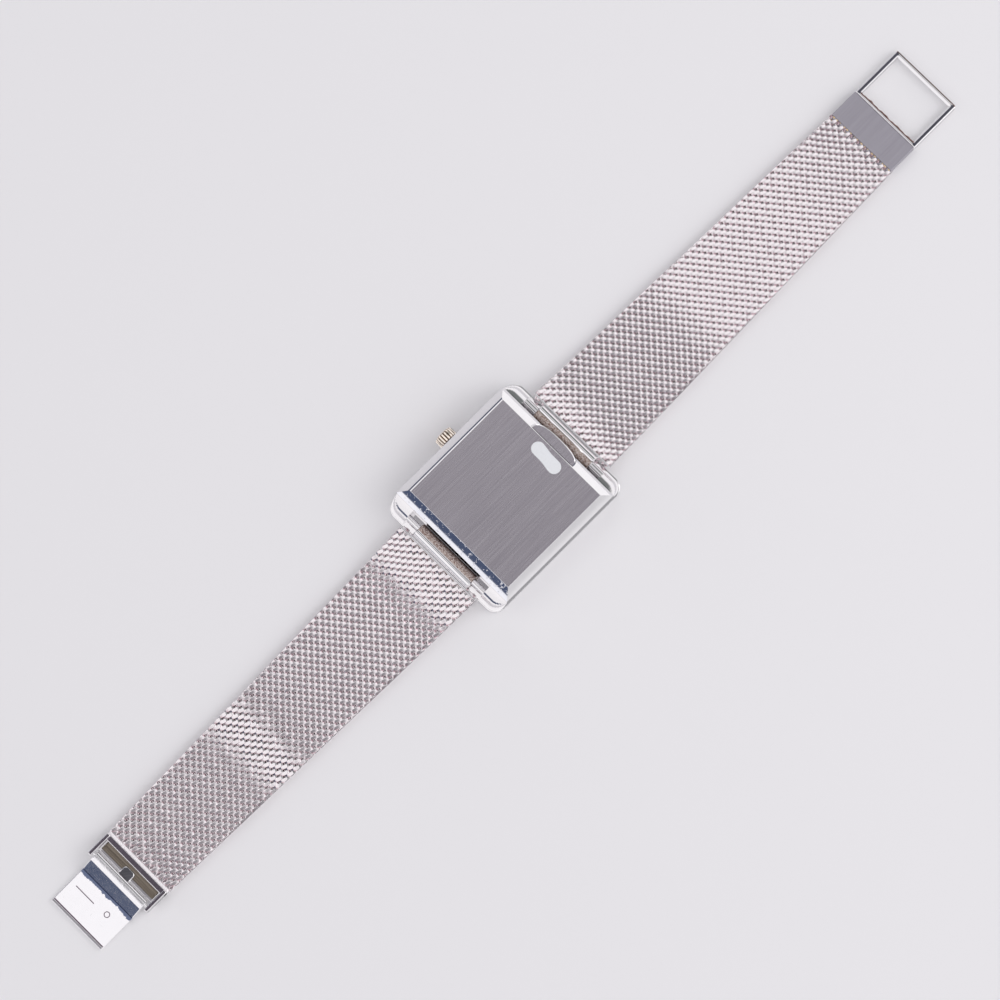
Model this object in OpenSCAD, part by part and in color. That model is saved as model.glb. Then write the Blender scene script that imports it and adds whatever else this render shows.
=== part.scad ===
// Slim rectangular wristwatch on a tapered woven steel strap.
// It lies open on its face with the back up. +X runs along the strap to the
// twelve o'clock end, +Y points to the crown and Z = 0 is the plane of the glass.
// All sizes are in millimetres.

/* [Case] */
// Half of the case length over the hooded ends, along the strap
case_hx = 14.7; // [14.2:0.1:16]
// Half of the case width
case_hy = 12.4; // [12.2:0.1:14]
// Half of the length of the case body between the hooded ends
body_hx = 12.0; // [11.9:0.1:12.2]
// Height of the joint between the case and its back
joint_z = 4.5; // [4.4:0.05:5]
// Height of the flat of the back above the glass
back_z = 6.6; // [6.4:0.1:8]
// Straight edge of the back below its bevel
back_edge = 0.25; // [0.1:0.05:0.4]
// Run of the back's bevel at the strap ends
bevel_x = 1.65; // [1:0.05:2]
// Run of the back's bevel at the long sides
bevel_y = 1.4; // [1:0.05:2]
// Wall of the case at its long sides
wall = 1.7; // [1.6:0.05:1.9]
// Wall of the back over the movement
back_wall = 0.7; // [0.4:0.05:0.8]
// Thickness of the front plate that joins the hoods
plate_t = 0.9; // [0.6:0.05:0.95]
// Corner radius of the front plate
corner_r = 2.0; // [0.5:0.1:2.4]
// Radius of the rounded hood ends
hood_r = 2.95; // [2.7:0.05:3]
// Half of the strap recess between the hoods
recess_hy = 8.6; // [8.5:0.05:9]
// Length of the pry lip of the back
lip_w = 9.2; // [5:0.1:12]
// Reach of the pry lip past the joint
lip_reach = 0.42; // [0.2:0.02:0.8]
// Height of the flat of the pry lip
lip_z = 5.3; // [5:0.05:5.8]

/* [Glass and dial] */
// Half of the glass along the strap
glass_hx = 9.7; // [9:0.05:9.8]
// Half of the glass across the strap
glass_hy = 8.9; // [8.2:0.05:9.4]
// Thickness of the glass
glass_t = 1.0; // [0.7:0.05:1.1]
// Width of the glass gasket
gasket_w = 0.3; // [0.2:0.02:0.4]
// Width of the ledge under the glass
ledge_w = 0.5; // [0.3:0.05:1]
// Thickness of the dial
dial_t = 0.3; // [0.2:0.02:0.32]
// Height of the front of the dial
dial_z = 2.3; // [2.2:0.05:2.32]
// Length of the minute hand from its axis
minute_len = 7.4; // [5:0.1:7.8]
// Length of the hour hand from its axis
hour_len = 5.2; // [3:0.1:6]
// Width of the hands
hand_w = 0.7; // [0.4:0.05:1]
// Thickness of each hand
hand_t = 0.16; // [0.1:0.01:0.2]
// Length of the hour markers
marker_len = 1.5; // [0.8:0.1:2]

/* [Movement] */
// Half of the movement along the strap
move_hx = 8.9; // [8.85:0.05:9.2]
// Half of the movement across the strap
move_hy = 7.65; // [7.6:0.05:7.9]
// Width of the spacer ring at the ends of the movement
ring_x = 1.1; // [1:0.05:1.2]
// Thickness of the movement's main plate
main_t = 0.5; // [0.4:0.05:0.55]
// Tooth module of the wheel train
gear_mod = 0.1; // [0.095:0.001:0.101]
// Thickness of a train wheel
wheel_t = 0.2; // [0.1:0.02:0.24]
// Diameter of the battery
battery_d = 6.8; // [5.8:0.1:6.8]
// Height of the battery
battery_h = 2.1; // [1.6:0.05:2.15]
// Diameter of the coil
coil_d = 2.0; // [1.4:0.05:2]
// Diameter of the crystal oscillator can
can_d = 1.5; // [1.2:0.05:1.6]
// Radial running clearance of arbors and tubes
run_gap = 0.04; // [0.02:0.01:0.05]

/* [Crown and stem] */
// Diameter of the crown
crown_d = 3.4; // [3:0.1:4]
// Length of the crown
crown_len = 1.8; // [1.5:0.05:2.4]
// Number of flutes round the crown
flutes = 20; // [12:1:30]
// Depth of the flutes
flute_d = 0.14; // [0.05:0.01:0.2]
// Height of the stem's axis
stem_z = 3.2; // [3.18:0.01:3.25]
// Radius of the stem
stem_r = 0.4; // [0.36:0.01:0.42]
// Wall of the crown tube
tube_wall = 0.16; // [0.12:0.01:0.18]
// Travel of the crown from the case to the setting position
pull = 0.5; // [0.4:0.05:0.6]

/* [Strap] */
// Distance from the case centre to each spring bar
bar_x = 13.3; // [13.2:0.05:13.4]
// Height of the spring bars
bar_z = 2.3; // [2.25:0.05:2.5]
// Radius of the spring bars
bar_r = 0.62; // [0.5:0.01:0.64]
// Thickness of the woven strap
mesh_t = 1.3; // [0.9:0.05:1.35]
// Outer radius of the strap end rolled round its spring bar
roll_r = 1.15; // [1.05:0.01:1.18]
// Width of the rolled tongue and of the polished bead on it
tongue_w = 12.2; // [9:0.1:15]
// Radius of the polished bead
bead_r = 0.8; // [0.5:0.05:0.9]
// Width of the strap at the case
mesh_w0 = 16.8; // [14:0.1:17]
// Width of the strap at the clasp
mesh_w1 = 13.5; // [13.3:0.1:16]
// Distance from the case centre to the full-width start of the strap
mesh_x0 = 15.0; // [14.9:0.1:15.4]
// Distance from the case centre to the end of each strap half
mesh_x1 = 81.6; // [70:0.1:90]
// Gap left at each bending station
bend_gap = 0.05; // [0.03:0.01:0.1]
// Slant of the strap ends over each bending station, degrees
bend_slant = 9.5; // [9:0.5:12]

/* [Frame end] */
// Width of both clasp halves
clasp_w = 13.3; // [12:0.1:13.4]
// Length of the brushed end plate
plate_len = 5.4; // [4:0.1:8]
// Height of the end plate
plate_h = 1.7; // [1.4:0.05:2.2]
// Inner length of the open frame
frame_in = 8.5; // [6:0.1:12]
// Bar of the frame beside the end plate
frame_near = 0.6; // [0.4:0.05:1]
// Far bar of the frame
frame_far = 0.7; // [0.4:0.05:1]
// Width of the side bars of the frame
frame_side = 0.85; // [0.5:0.05:1.2]
// Height of the frame
frame_h = 1.3; // [0.8:0.05:1.6]

/* [Folding clasp] */
// Length of the clasp box from the strap to its open end
box_len = 5.0; // [4.7:0.1:6]
// Height of the side arms of the box
box_h = 2.5; // [2.5:0.05:2.8]
// Thickness of the side arms
arm_t = 0.65; // [0.4:0.05:0.8]
// Thickness of the floor of the box
floor_t = 0.5; // [0.3:0.05:0.55]
// Distance from the open end of the box to the hinge axis
hinge_in = 0.7; // [0.65:0.05:0.9]
// Height of the hinge axis
hinge_z = 1.9; // [1.85:0.05:2]
// Radius of the hinge pin
pin_r = 0.3; // [0.25:0.01:0.33]
// Radius of the hinge barrel
barrel_r = 0.6; // [0.5:0.02:0.62]
// Width of the folding hook
hook_w = 11.1; // [9:0.1:11.4]
// Length of the folding hook beyond its hinge
hook_len = 10.0; // [8:0.1:13]
// Thickness of the hook's sheet
hook_t = 0.5; // [0.4:0.05:0.6]
// Outer radius of the hook's curved root
root_r = 3.8; // [3.5:0.05:4]
// Length of the hem at the hook's tip
hem_len = 1.1; // [0.8:0.1:2]
// Width of the catch in the box
catch_w = 2.8; // [1.5:0.1:4]

/* [Hidden] */
$fn = 64;
eps = 0.01;
cut = 1;

// Case interior: as long as the movement with its spacer ring, as wide as the walls leave
ring_gap = 0.3;
cavity_hx = move_hx + ring_x + ring_gap;
cavity_hy = case_hy - wall;
rebate = 0.65;
rebate_h = 0.7;
rebate_z = joint_z - rebate_h;
rim_t = 0.5;
rim_gap = 0.05;
back_gasket_t = 0.2;
hood_step = 0.15;
pocket_gap = 0.1;
pocket_x = bar_x - roll_r - pocket_gap;
lip_root = 0.1;
lip_gap = 0.12;
lip_x = body_hx - bevel_x + lip_root;
window_hx = glass_hx - ledge_w;
window_hy = glass_hy - ledge_w;
window_r = 0.6;

// Levels inside, from the glass to the back
dial_back = dial_z + dial_t;
level_gap = 0.06;
hour_wheel_z = dial_back + level_gap;
hour_wheel_t = 0.14;
minute_wheel_z = hour_wheel_z + hour_wheel_t + level_gap;
minute_wheel_t = 0.16;
plate_gap = 0.08;
end_shake = 0.15;
wheel_gap = 0.25;
main_z = minute_wheel_z + minute_wheel_t + plate_gap;
main_top = main_z + main_t;
centre_z = main_top + end_shake;
third_z = centre_z + wheel_t + wheel_gap;
intermediate_z = third_z + wheel_t + wheel_gap;
bridge_z = intermediate_z + wheel_t + end_shake;
bridge_t = 0.35;
bridge_top = bridge_z + bridge_t;
board_t = 0.15;
screw_head_h = 0.25;
screw_head_r = 0.6;
screw_r = 0.3;
screw_floor = 0.1;
screw_slot_w = 0.16;
screw_slot_h = 0.12;
ring_drop = 0.25;
hour_hand_z = 1.8;
minute_hand_z = 1.4;

// Arbors and tubes on the hand axis
arbor_r = 0.15;
centre_arbor_r = 0.2;
cannon_r = 0.4;
hour_tube_r = 0.72;
hand_hub_r = 1.1;
minute_hub_r = 0.75;
hand_tail = 1.6;
hand_tip = 0.5;
hub_out = 0.05;
cannon_gap = 0.02;
arbor_in = 0.05;
pinion_over = 0.05;
shoulder_w = 0.25;
dial_gap = 0.1;
dial_hole_gap = 0.08;
marker_t = 0.12;
marker_in = 0.5;

// Tooth outline: place as a share of the pitch, height in modules
tooth_tip = 0.85;
tooth_form = [[-0.27, -1.1], [-0.12, tooth_tip], [0.12, tooth_tip], [0.27, -1.1]];

// Tooth counts
centre_teeth = 60;
third_pinion_teeth = 8;
third_teeth = 48;
inter_pinion_teeth = 12;
inter_teeth = 36;
rotor_teeth = 12;
cannon_teeth = 12;
minute_teeth = 36;
minute_pinion_teeth = 10;
hour_teeth = 40;
motion_dist = gear_mod * (cannon_teeth + minute_teeth) / 2;
hour_mod = 2 * motion_dist / (minute_pinion_teeth + hour_teeth);

// Directions from each wheel of the train to the next, degrees
third_dir = -35;
inter_dir = 20;
rotor_dir = -75;
minute_dir = 90;

// Places of the wheels in plan
third_at = polar(gear_mod * (centre_teeth + third_pinion_teeth) / 2, third_dir);
inter_at = third_at + polar(gear_mod * (third_teeth + inter_pinion_teeth) / 2, inter_dir);
rotor_at = inter_at + polar(gear_mod * (inter_teeth + rotor_teeth) / 2, rotor_dir);
minute_at = polar(motion_dist, minute_dir);

// Tooth phases that put a tooth into a gap at each mesh
third_phase = mesh_phase(0, centre_teeth, third_dir, third_pinion_teeth);
inter_phase = mesh_phase(0, third_teeth, inter_dir, inter_pinion_teeth);
rotor_phase = mesh_phase(0, inter_teeth, rotor_dir, rotor_teeth);
minute_phase = mesh_phase(0, cannon_teeth, minute_dir, minute_teeth);
hour_phase = mesh_phase(0, minute_pinion_teeth, minute_dir + 180, hour_teeth);

// Fixed places on the movement
battery_in = [0.3, 0.25];
battery_at = [battery_in[0] + battery_d / 2 - move_hx, battery_in[1] + battery_d / 2 - move_hy];
battery_step = 0.2;
battery_cap_in = 0.45;
clamp_w = 1.4;
clamp_t = 0.15;
clamp_over = 2.4;
clamp_foot = 0.95;
clamp_gap = 0.15;
core_x0 = 0.2;
core_x1 = move_hx - 0.4;
core_w = 0.8;
core_t = 0.5;
coil_foot = 1;
coil_len = 5.9;
coil_at = [(core_x0 + core_x1) / 2, -6.3];
core_z = main_top + coil_d / 2;
stator_z = main_top + 0.2;
stator_t = 0.4;
stator_gap = 0.1;
stator_foot_in = 0.5;
stator_arm = 1.6;
stator_back = 1.35;
magnet_r = 0.75;
magnet_gap = 0.25;
can_at = [5.5, 5.9];
can_len = 4.6;
pillars = [[3.9, 3.0], [8.1, 0.6], [-0.6, -4.5]];
dial_feet = [[-7.9, 6.0], [7.9, 6.9]];
foot_r = 0.35;
rim_w = 1.0;
bridge_in = 0.2;
bridge_pad = 0.7;
centre_pad = 1.2;
board_in = 0.3;
board_edge = 0.5;
board_hole_r = 0.35;
chip_at = [3.4, -3.3];
chip_side = 1.8;
chip_t = 0.25;

// Keyless works: stations along the stem, each set inward from the outer block
outer_block_len = 0.45;
outer_block = [move_hy - outer_block_len, move_hy];
groove_gap = 0.3;
groove_len = 0.6;
groove_span = [outer_block[0] - groove_gap - groove_len, outer_block[0] - groove_gap];
collar_len = 0.15;
square_end = groove_span[0] - collar_len;
pinion_gap = 0.15;
pinion_len = 1.25;
pinion_span = [square_end - pinion_gap - pinion_len, square_end - pinion_gap];
square_over = 0.35;
pivot_end = pinion_span[0] - square_over;
inner_gap = 0.3;
inner_block_len = 0.5;
inner_block = [pivot_end - inner_gap - inner_block_len, pivot_end - inner_gap];
pivot_over = 0.3;
stem_in = inner_block[0] - pivot_over;
pivot_r = 0.15;
square_r = 0.32;
inner_block_w = 1.2;
outer_block_w = 2.4;
clutch_w = 1.9;
pinion_r = 0.52;
pinion_teeth = 12;
pinion_core = 0.07;
groove_r = 0.22;
lever_arm = 2.5;
block_roof = 0.35;
lever_gap = 0.05;
block_top = stem_z + stem_r + block_roof;
lever_z = block_top + lever_gap;
lever_t = 0.25;
lever_head_r = 0.3;
lever_pin_r = 0.2;
lever_boss_r = 0.5;
crown_gap = 0.1;
crown_y0 = case_hy + crown_gap;
crown_bore_r = 1.05;
bore_spare = 0.3;
crown_bore_len = pull + bore_spare;
crown_edge = 0.25;
crown_step = 0.05;
stem_seat = 0.6;
seal_gap = 0.03;
seal_in = 0.05;
seal_t = 0.2;
tube_gap = 0.15;
tube_in_r = stem_r + run_gap;
tube_out_r = tube_in_r + tube_wall;
tube_end = crown_y0 + crown_bore_len - tube_gap;

// Flute outline: place as a share of the pitch, depth as a share of the flute's
flute_form = [[-0.3, 0], [0.2, 0], [0.3, 1], [0.6, 1]];

// Hand directions at rest, degrees clockwise from twelve as the dial is read
minute_angle = 48;
hour_angle = 304;

// Strap geometry shared by both halves
mesh_n = 6;
bar_shoulder = 9.7;
bar_tip_r = 0.38;
bar_tip = 10.6;
tip_gap = 0.1;
slot_gap = 0.08;
pitch = (mesh_x1 - mesh_x0) / mesh_n;
bend_z = mesh_t / 2;
fold_gap = 0.12;
fold_z = plate_t + fold_gap;
tongue_in = 0.2;
tongue_step = 0.05;
trim_t = 0.18;
trim_w = 0.3;
bead_out = 0.7;
bead_up = 0.4;
link_in = 1;

// Clasp places
hinge_x = mesh_x1 + box_len - hinge_in;
rim_len = 1.5;
rim_h = 1.75;
floor_len = 3.4;
leaf_t = 0.2;
leaf_gap = 0.3;
leaf_len = 1.5;
catch_in = 2.1;
catch_len = 1.3;
catch_bar = 0.6;
catch_h = 0.45;
pin_out = 0.05;

function polar(r, a) = [r * cos(a), r * sin(a)];

function mesh_phase(phase1, teeth1, dir, teeth2) =
    dir + 180 - ((phase1 - dir) * teeth1 / 360 + 0.5) * 360 / teeth2;

function strap_w(x) =
    mesh_w0 + (mesh_w1 - mesh_w0) * (x - mesh_x0) / (mesh_x1 - mesh_x0);

function gear_points(teeth, mod, phase) = [
    for (i = [0 : teeth - 1])
        for (p = tooth_form)
            polar(mod * (teeth / 2 + p[1]), phase + (i + p[0]) * 360 / teeth)
];

// Rounded rectangle in plan, centred
module plan(hx, hy, r) {
    translate([-hx + r, -hy]) square([2 * (hx - r), 2 * hy]);
    translate([-hx, -hy + r]) square([2 * hx, 2 * (hy - r)]);
    for (sx = [-1, 1])
        for (sy = [-1, 1])
            translate([sx * (hx - r), sy * (hy - r)]) circle(r);
}

// Block centred in plan, from z0 to z1
module block(hx, hy, z0, z1) {
    translate([-hx, -hy, z0]) cube([2 * hx, 2 * hy, z1 - z0]);
}

// Upright cylinder from z0 to z1
module post(at, r, z0, z1) {
    translate([at[0], at[1], z0]) cylinder(r = r, h = z1 - z0);
}

// Cylinder along Y from y0 to y1
module shaft_y(x, z, r, y0, y1) {
    translate([x, y0, z]) rotate([-90, 0, 0]) cylinder(r = r, h = y1 - y0);
}

// Profile in X and Z, extruded to both sides of the middle by hy
module across(hy) {
    translate([0, hy, 0]) rotate([90, 0, 0]) linear_extrude(2 * hy) children();
}

// Frustum with mitred corners: half sizes h0 at z0 and h1 at z1
module taper(h0, z0, h1, z1) {
    intersection() {
        across(h0[1] + cut)
            polygon([[-h0[0], z0], [h0[0], z0], [h1[0], z1], [-h1[0], z1]]);
        rotate([0, 0, 90])
            across(h0[0] + cut)
                polygon([[-h0[1], z0], [h0[1], z0], [h1[1], z1], [-h1[1], z1]]);
    }
}

module gear(at, teeth, mod, phase, z0, z1) {
    translate([at[0], at[1], z0])
        linear_extrude(z1 - z0) polygon(gear_points(teeth, mod, phase));
}

module hood(sx, sy) {
    y0 = sy > 0 ? recess_hy : -case_hy;
    intersection() {
        translate([sx > 0 ? 0 : -case_hx, y0, 0])
            cube([case_hx, case_hy - recess_hy, joint_z]);
        union() {
            shaft_y(sx * (case_hx - hood_step - hood_r), plate_t, hood_r, -case_hy, case_hy);
            block(body_hx, case_hy, 0, plate_t);
        }
        linear_extrude(joint_z) plan(case_hx - hood_step, case_hy, corner_r);
    }
}

module bar_seat(sx) {
    slot_r = bar_r + slot_gap;
    slot_y = bar_shoulder + slot_gap;
    shaft_y(sx * bar_x, bar_z, slot_r, -slot_y, slot_y);
    translate([sx * bar_x - slot_r, -slot_y, bar_z]) cube([2 * slot_r, 2 * slot_y, joint_z]);
    shaft_y(sx * bar_x, bar_z, bar_tip_r + run_gap, -bar_tip - tip_gap, bar_tip + tip_gap);
}

// Room for the rolled strap end between the hoods
module strap_pocket(sx) {
    translate([sx > 0 ? pocket_x : -case_hx - cut, -recess_hy, plate_t])
        cube([case_hx + cut - pocket_x, 2 * recess_hy, joint_z]);
}

module case_front() {
    color("gainsboro") difference() {
        union() {
            linear_extrude(plate_t) plan(case_hx, case_hy, corner_r);
            block(body_hx, case_hy, 0, joint_z);
            for (sx = [-1, 1])
                for (sy = [-1, 1])
                    hood(sx, sy);
        }
        translate([0, 0, -cut])
            linear_extrude(cut + glass_t) plan(glass_hx + gasket_w, glass_hy + gasket_w, window_r);
        translate([0, 0, -cut])
            linear_extrude(cut + joint_z) plan(window_hx, window_hy, window_r);
        block(cavity_hx, cavity_hy, dial_z, joint_z + cut);
        block(cavity_hx + rebate, cavity_hy + rebate, rebate_z, joint_z + cut);
        shaft_y(0, stem_z, tube_out_r, cavity_hy - cut, case_hy + cut);
        for (sx = [-1, 1]) {
            bar_seat(sx);
            strap_pocket(sx);
        }
    }
}

module crystal() {
    color("aliceblue", 0.4) linear_extrude(glass_t) plan(glass_hx, glass_hy, window_r / 2);
}

module crystal_gasket() {
    color("white") difference() {
        linear_extrude(glass_t) plan(glass_hx + gasket_w, glass_hy + gasket_w, window_r);
        translate([0, 0, -cut])
            linear_extrude(glass_t + 2 * cut) plan(glass_hx, glass_hy, window_r / 2);
    }
}

// Outline of the pry lip, straight beside the flat of the back, with g of room round it
module lip_plan(g) {
    reach = body_hx + lip_reach - lip_x;
    r = (lip_w * lip_w / 4 + reach * reach) / (2 * reach);
    intersection() {
        translate([lip_x + reach - r, 0]) circle(r + g);
        translate([lip_x, -lip_w / 2 - g]) square([reach + g, lip_w + 2 * g]);
    }
}

module case_back() {
    edge_z = joint_z + back_edge;
    inner_z = back_z - back_wall;
    rim_hx = cavity_hx + rebate - rim_gap;
    rim_hy = cavity_hy + rebate - rim_gap;
    color("silver") difference() {
        union() {
            block(body_hx, case_hy, joint_z, edge_z);
            taper([body_hx, case_hy], edge_z, [body_hx - bevel_x, case_hy - bevel_y], back_z);
            block(rim_hx, rim_hy, rebate_z + back_gasket_t, joint_z);
            linear_extrude_at(joint_z, lip_z - joint_z) lip_plan(0);
        }
        linear_extrude_at(lip_z, back_z) lip_plan(lip_gap);
        block(rim_hx - rim_t, rim_hy - rim_t, rebate_z - cut, joint_z);
        taper([rim_hx - rim_t, rim_hy - rim_t], joint_z - eps,
            [body_hx - bevel_x - back_wall, case_hy - bevel_y - back_wall], inner_z);
    }
}

module back_gasket() {
    hx = cavity_hx + rebate - rim_gap;
    hy = cavity_hy + rebate - rim_gap;
    color("dimgray") difference() {
        block(hx, hy, rebate_z, rebate_z + back_gasket_t);
        block(hx - rim_t, hy - rim_t, rebate_z - cut, joint_z);
    }
}

module crown_tube() {
    color("lightgray") difference() {
        shaft_y(0, stem_z, tube_out_r, cavity_hy, tube_end);
        shaft_y(0, stem_z, tube_in_r, cavity_hy - cut, tube_end + cut);
    }
}

module movement_ring() {
    color("ivory") difference() {
        block(cavity_hx - ring_gap, cavity_hy - ring_gap, dial_back, bridge_top - ring_drop);
        block(move_hx, move_hy, dial_back - cut, joint_z + cut);
        translate([-stem_r - ring_gap, 0, dial_back - cut])
            cube([2 * (stem_r + ring_gap), case_hy,
                stem_z + stem_r + ring_gap - dial_back + cut]);
    }
}

module dial() {
    color("white") difference() {
        union() {
            linear_extrude_at(dial_z, dial_t) plan(cavity_hx - dial_gap, cavity_hy - dial_gap, window_r);
            for (f = dial_feet)
                post(f, foot_r, dial_back, main_top);
        }
        post([0, 0], hour_tube_r + dial_hole_gap, dial_z - cut, dial_back + cut);
    }
}

module linear_extrude_at(z, h) {
    translate([0, 0, z]) linear_extrude(h) children();
}

// One marker for each hour, set round the rectangle of the window
module hour_markers() {
    in_x = window_hx - marker_in - marker_len / 2;
    in_y = window_hy - marker_in - marker_len / 2;
    color("silver") for (h = [0 : 11]) {
        a = h * 30;
        reach = min(in_x / max(abs(cos(a)), eps), in_y / max(abs(sin(a)), eps));
        translate([reach * cos(a), reach * sin(a), dial_z - marker_t])
            rotate([0, 0, a])
                translate([-marker_len / 2, -hand_w / 4, 0])
                    cube([marker_len, hand_w / 2, marker_t]);
    }
}

module main_plate() {
    lever_at = [lever_arm, (groove_span[0] + groove_span[1]) / 2];
    color("gold") difference() {
        union() {
            block(move_hx, move_hy, dial_back, main_top);
            for (p = pillars)
                post(p, screw_head_r, main_top, bridge_z);
            translate([-inner_block_w / 2, inner_block[0], main_z])
                cube([inner_block_w, inner_block[1] - inner_block[0], block_top - main_z]);
            translate([-outer_block_w / 2, outer_block[0], main_z])
                cube([outer_block_w, outer_block[1] - outer_block[0], block_top - main_z]);
            post(lever_at, lever_pin_r, main_top, lever_z + lever_t);
        }
        difference() {
            block(move_hx - rim_w, move_hy - rim_w, dial_back - cut, main_z);
            post(minute_at, centre_arbor_r, dial_back + level_gap, main_z + cut);
        }
        translate([-clutch_w / 2, inner_block[1], dial_back - cut])
            cube([clutch_w, outer_block[0] - inner_block[1], joint_z]);
        shaft_y(0, stem_z, pivot_r + run_gap, inner_block[0] - cut, inner_block[1] + eps);
        shaft_y(0, stem_z, stem_r + run_gap, outer_block[0] - eps, move_hy + cut);
        post([0, 0], centre_arbor_r + run_gap, main_z - cut, main_top + cut);
        for (at = [third_at, inter_at, rotor_at])
            post(at, arbor_r + run_gap, main_z - cut, main_top + cut);
        for (f = dial_feet)
            post(f, foot_r, dial_back - cut, main_top + cut);
        for (p = pillars)
            post(p, screw_r, main_z + screw_floor, bridge_z + cut);
    }
}

module train_bridge() {
    color("gold") difference() {
        linear_extrude_at(bridge_z, bridge_t)
            polygon([
                pillars[2] - [bridge_pad, screw_head_r],
                [move_hx - bridge_in, pillars[2][1] - screw_head_r],
                [move_hx - bridge_in, pillars[1][1] + bridge_pad],
                pillars[0] + [bridge_pad, bridge_pad],
                pillars[0] + [-bridge_pad, bridge_pad],
                [-centre_pad, centre_pad]
            ]);
        post([0, 0], centre_arbor_r + run_gap, bridge_z - cut, bridge_top + cut);
        for (at = [third_at, inter_at, rotor_at])
            post(at, arbor_r + run_gap, bridge_z - cut, bridge_top + cut);
        for (p = pillars)
            post(p, screw_r, bridge_z - cut, bridge_top + cut);
    }
}

// Three slotted screws that hold the bridge on its pillars
module movement_screws() {
    color("silver") for (p = pillars)
        difference() {
            union() {
                post(p, screw_head_r, bridge_top, bridge_top + screw_head_h);
                post(p, screw_r, main_z + screw_floor, bridge_top);
            }
            translate([p[0] - cut, p[1] - screw_slot_w / 2, bridge_top + screw_head_h - screw_slot_h])
                cube([2 * cut, screw_slot_w, cut]);
        }
}

module battery() {
    color("silver") union() {
        post(battery_at, battery_d / 2, main_top, main_top + battery_h - battery_step);
        post(battery_at, battery_d / 2 - battery_cap_in, main_top, main_top + battery_h);
    }
}

module battery_clamp() {
    foot_y = battery_at[1] + battery_d / 2 + clamp_gap;
    over_y = battery_at[1] - clamp_over;
    color("goldenrod") union() {
        translate([battery_at[0] - clamp_w / 2, over_y, main_top + battery_h])
            cube([clamp_w, foot_y + clamp_foot - over_y, clamp_t]);
        translate([battery_at[0] - clamp_w / 2, foot_y, main_top])
            cube([clamp_w, clamp_foot, battery_h + clamp_t]);
    }
}

module circuit_board() {
    x0 = pillars[2][0] - board_in;
    x1 = pillars[0][0] - board_edge;
    x2 = move_hx - bridge_in - board_edge;
    y0 = pillars[2][1] + screw_head_r + board_in;
    y1 = pillars[1][1] - screw_head_r - 2 * board_in;
    y2 = pillars[0][1] - screw_head_r - board_edge;
    color("darkgoldenrod") difference() {
        linear_extrude_at(bridge_top, board_t)
            polygon([[x0, y0], [x2, y0], [x2, y1], [x1, y1], [x1, y2], [x0, centre_pad - board_edge]]);
        for (at = [[0, 0], third_at, inter_at, rotor_at])
            post(at, board_hole_r, bridge_top - cut, bridge_top + cut);
    }
}

module chip() {
    color("black") translate([chip_at[0], chip_at[1], bridge_top + board_t])
        cube([chip_side, chip_side, chip_t]);
}

module quartz_can() {
    z = main_top + can_d / 2;
    color("silver") translate([can_at[0] - can_len / 2, can_at[1], z])
        rotate([0, 90, 0]) cylinder(d = can_d, h = can_len);
}

module coil() {
    color("peru") difference() {
        translate([coil_at[0] - coil_len / 2, coil_at[1], core_z])
            rotate([0, 90, 0]) cylinder(d = coil_d, h = coil_len);
        translate([core_x0 - cut, coil_at[1] - core_w / 2, core_z - core_t / 2])
            cube([core_x1 - core_x0 + 2 * cut, core_w, core_t]);
    }
}

module coil_core() {
    stator_top = stator_z + stator_t;
    color("dimgray") union() {
        translate([core_x0, coil_at[1] - core_w / 2, core_z - core_t / 2])
            cube([core_x1 - core_x0, core_w, core_t]);
        for (x = [core_x0, core_x1 - coil_foot])
            translate([x, coil_at[1] - core_w / 2, stator_top])
                cube([coil_foot, core_w, core_z - stator_top]);
    }
}

module stator() {
    yoke_y = coil_at[1] + coil_d / 2 + stator_gap;
    block_x = rotor_at[0] - stator_arm;
    foot_y = coil_at[1] - stator_foot_in;
    foot_len = yoke_y + core_w - foot_y;
    color("slategray") difference() {
        linear_extrude_at(stator_z, stator_t) union() {
            for (x = [core_x0, core_x1 - coil_foot])
                translate([x, foot_y]) square([coil_foot, foot_len]);
            translate([core_x0, yoke_y]) square([core_x1 - core_x0, core_w]);
            translate([block_x, yoke_y])
                square([core_x1 - block_x, rotor_at[1] + stator_back - yoke_y]);
        }
        post(rotor_at, magnet_r + magnet_gap, main_top, bridge_z);
    }
}

module spring_bar(sx) {
    color("silver") union() {
        shaft_y(sx * bar_x, bar_z, bar_r, -bar_shoulder, bar_shoulder);
        shaft_y(sx * bar_x, bar_z, bar_tip_r, -bar_tip, bar_tip);
    }
}

module spring_bar_12() {
    spring_bar(1);
}

module spring_bar_6() {
    spring_bar(-1);
}

module crown_seal() {
    color("black") difference() {
        shaft_y(0, stem_z, crown_bore_r - seal_gap, crown_y0 + seal_in, crown_y0 + seal_in + seal_t);
        shaft_y(0, stem_z, tube_out_r + seal_gap, crown_y0, crown_y0 + crown_bore_len);
    }
}

module crown() {
    r = crown_d / 2;
    color("lightgoldenrodyellow") difference() {
        translate([0, crown_y0, stem_z]) rotate([-90, 0, 0]) union() {
            linear_extrude(crown_len - crown_edge) polygon([
                for (i = [0 : flutes - 1])
                    for (p = flute_form)
                        polar(r - p[1] * flute_d, (i + p[0]) * 360 / flutes)
            ]);
            cylinder(r = r - flute_d - crown_step, h = crown_len);
        }
        shaft_y(0, stem_z, crown_bore_r, crown_y0 - cut, crown_y0 + crown_bore_len);
        shaft_y(0, stem_z, stem_r, crown_y0, crown_y0 + crown_bore_len + stem_seat);
    }
}

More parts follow.
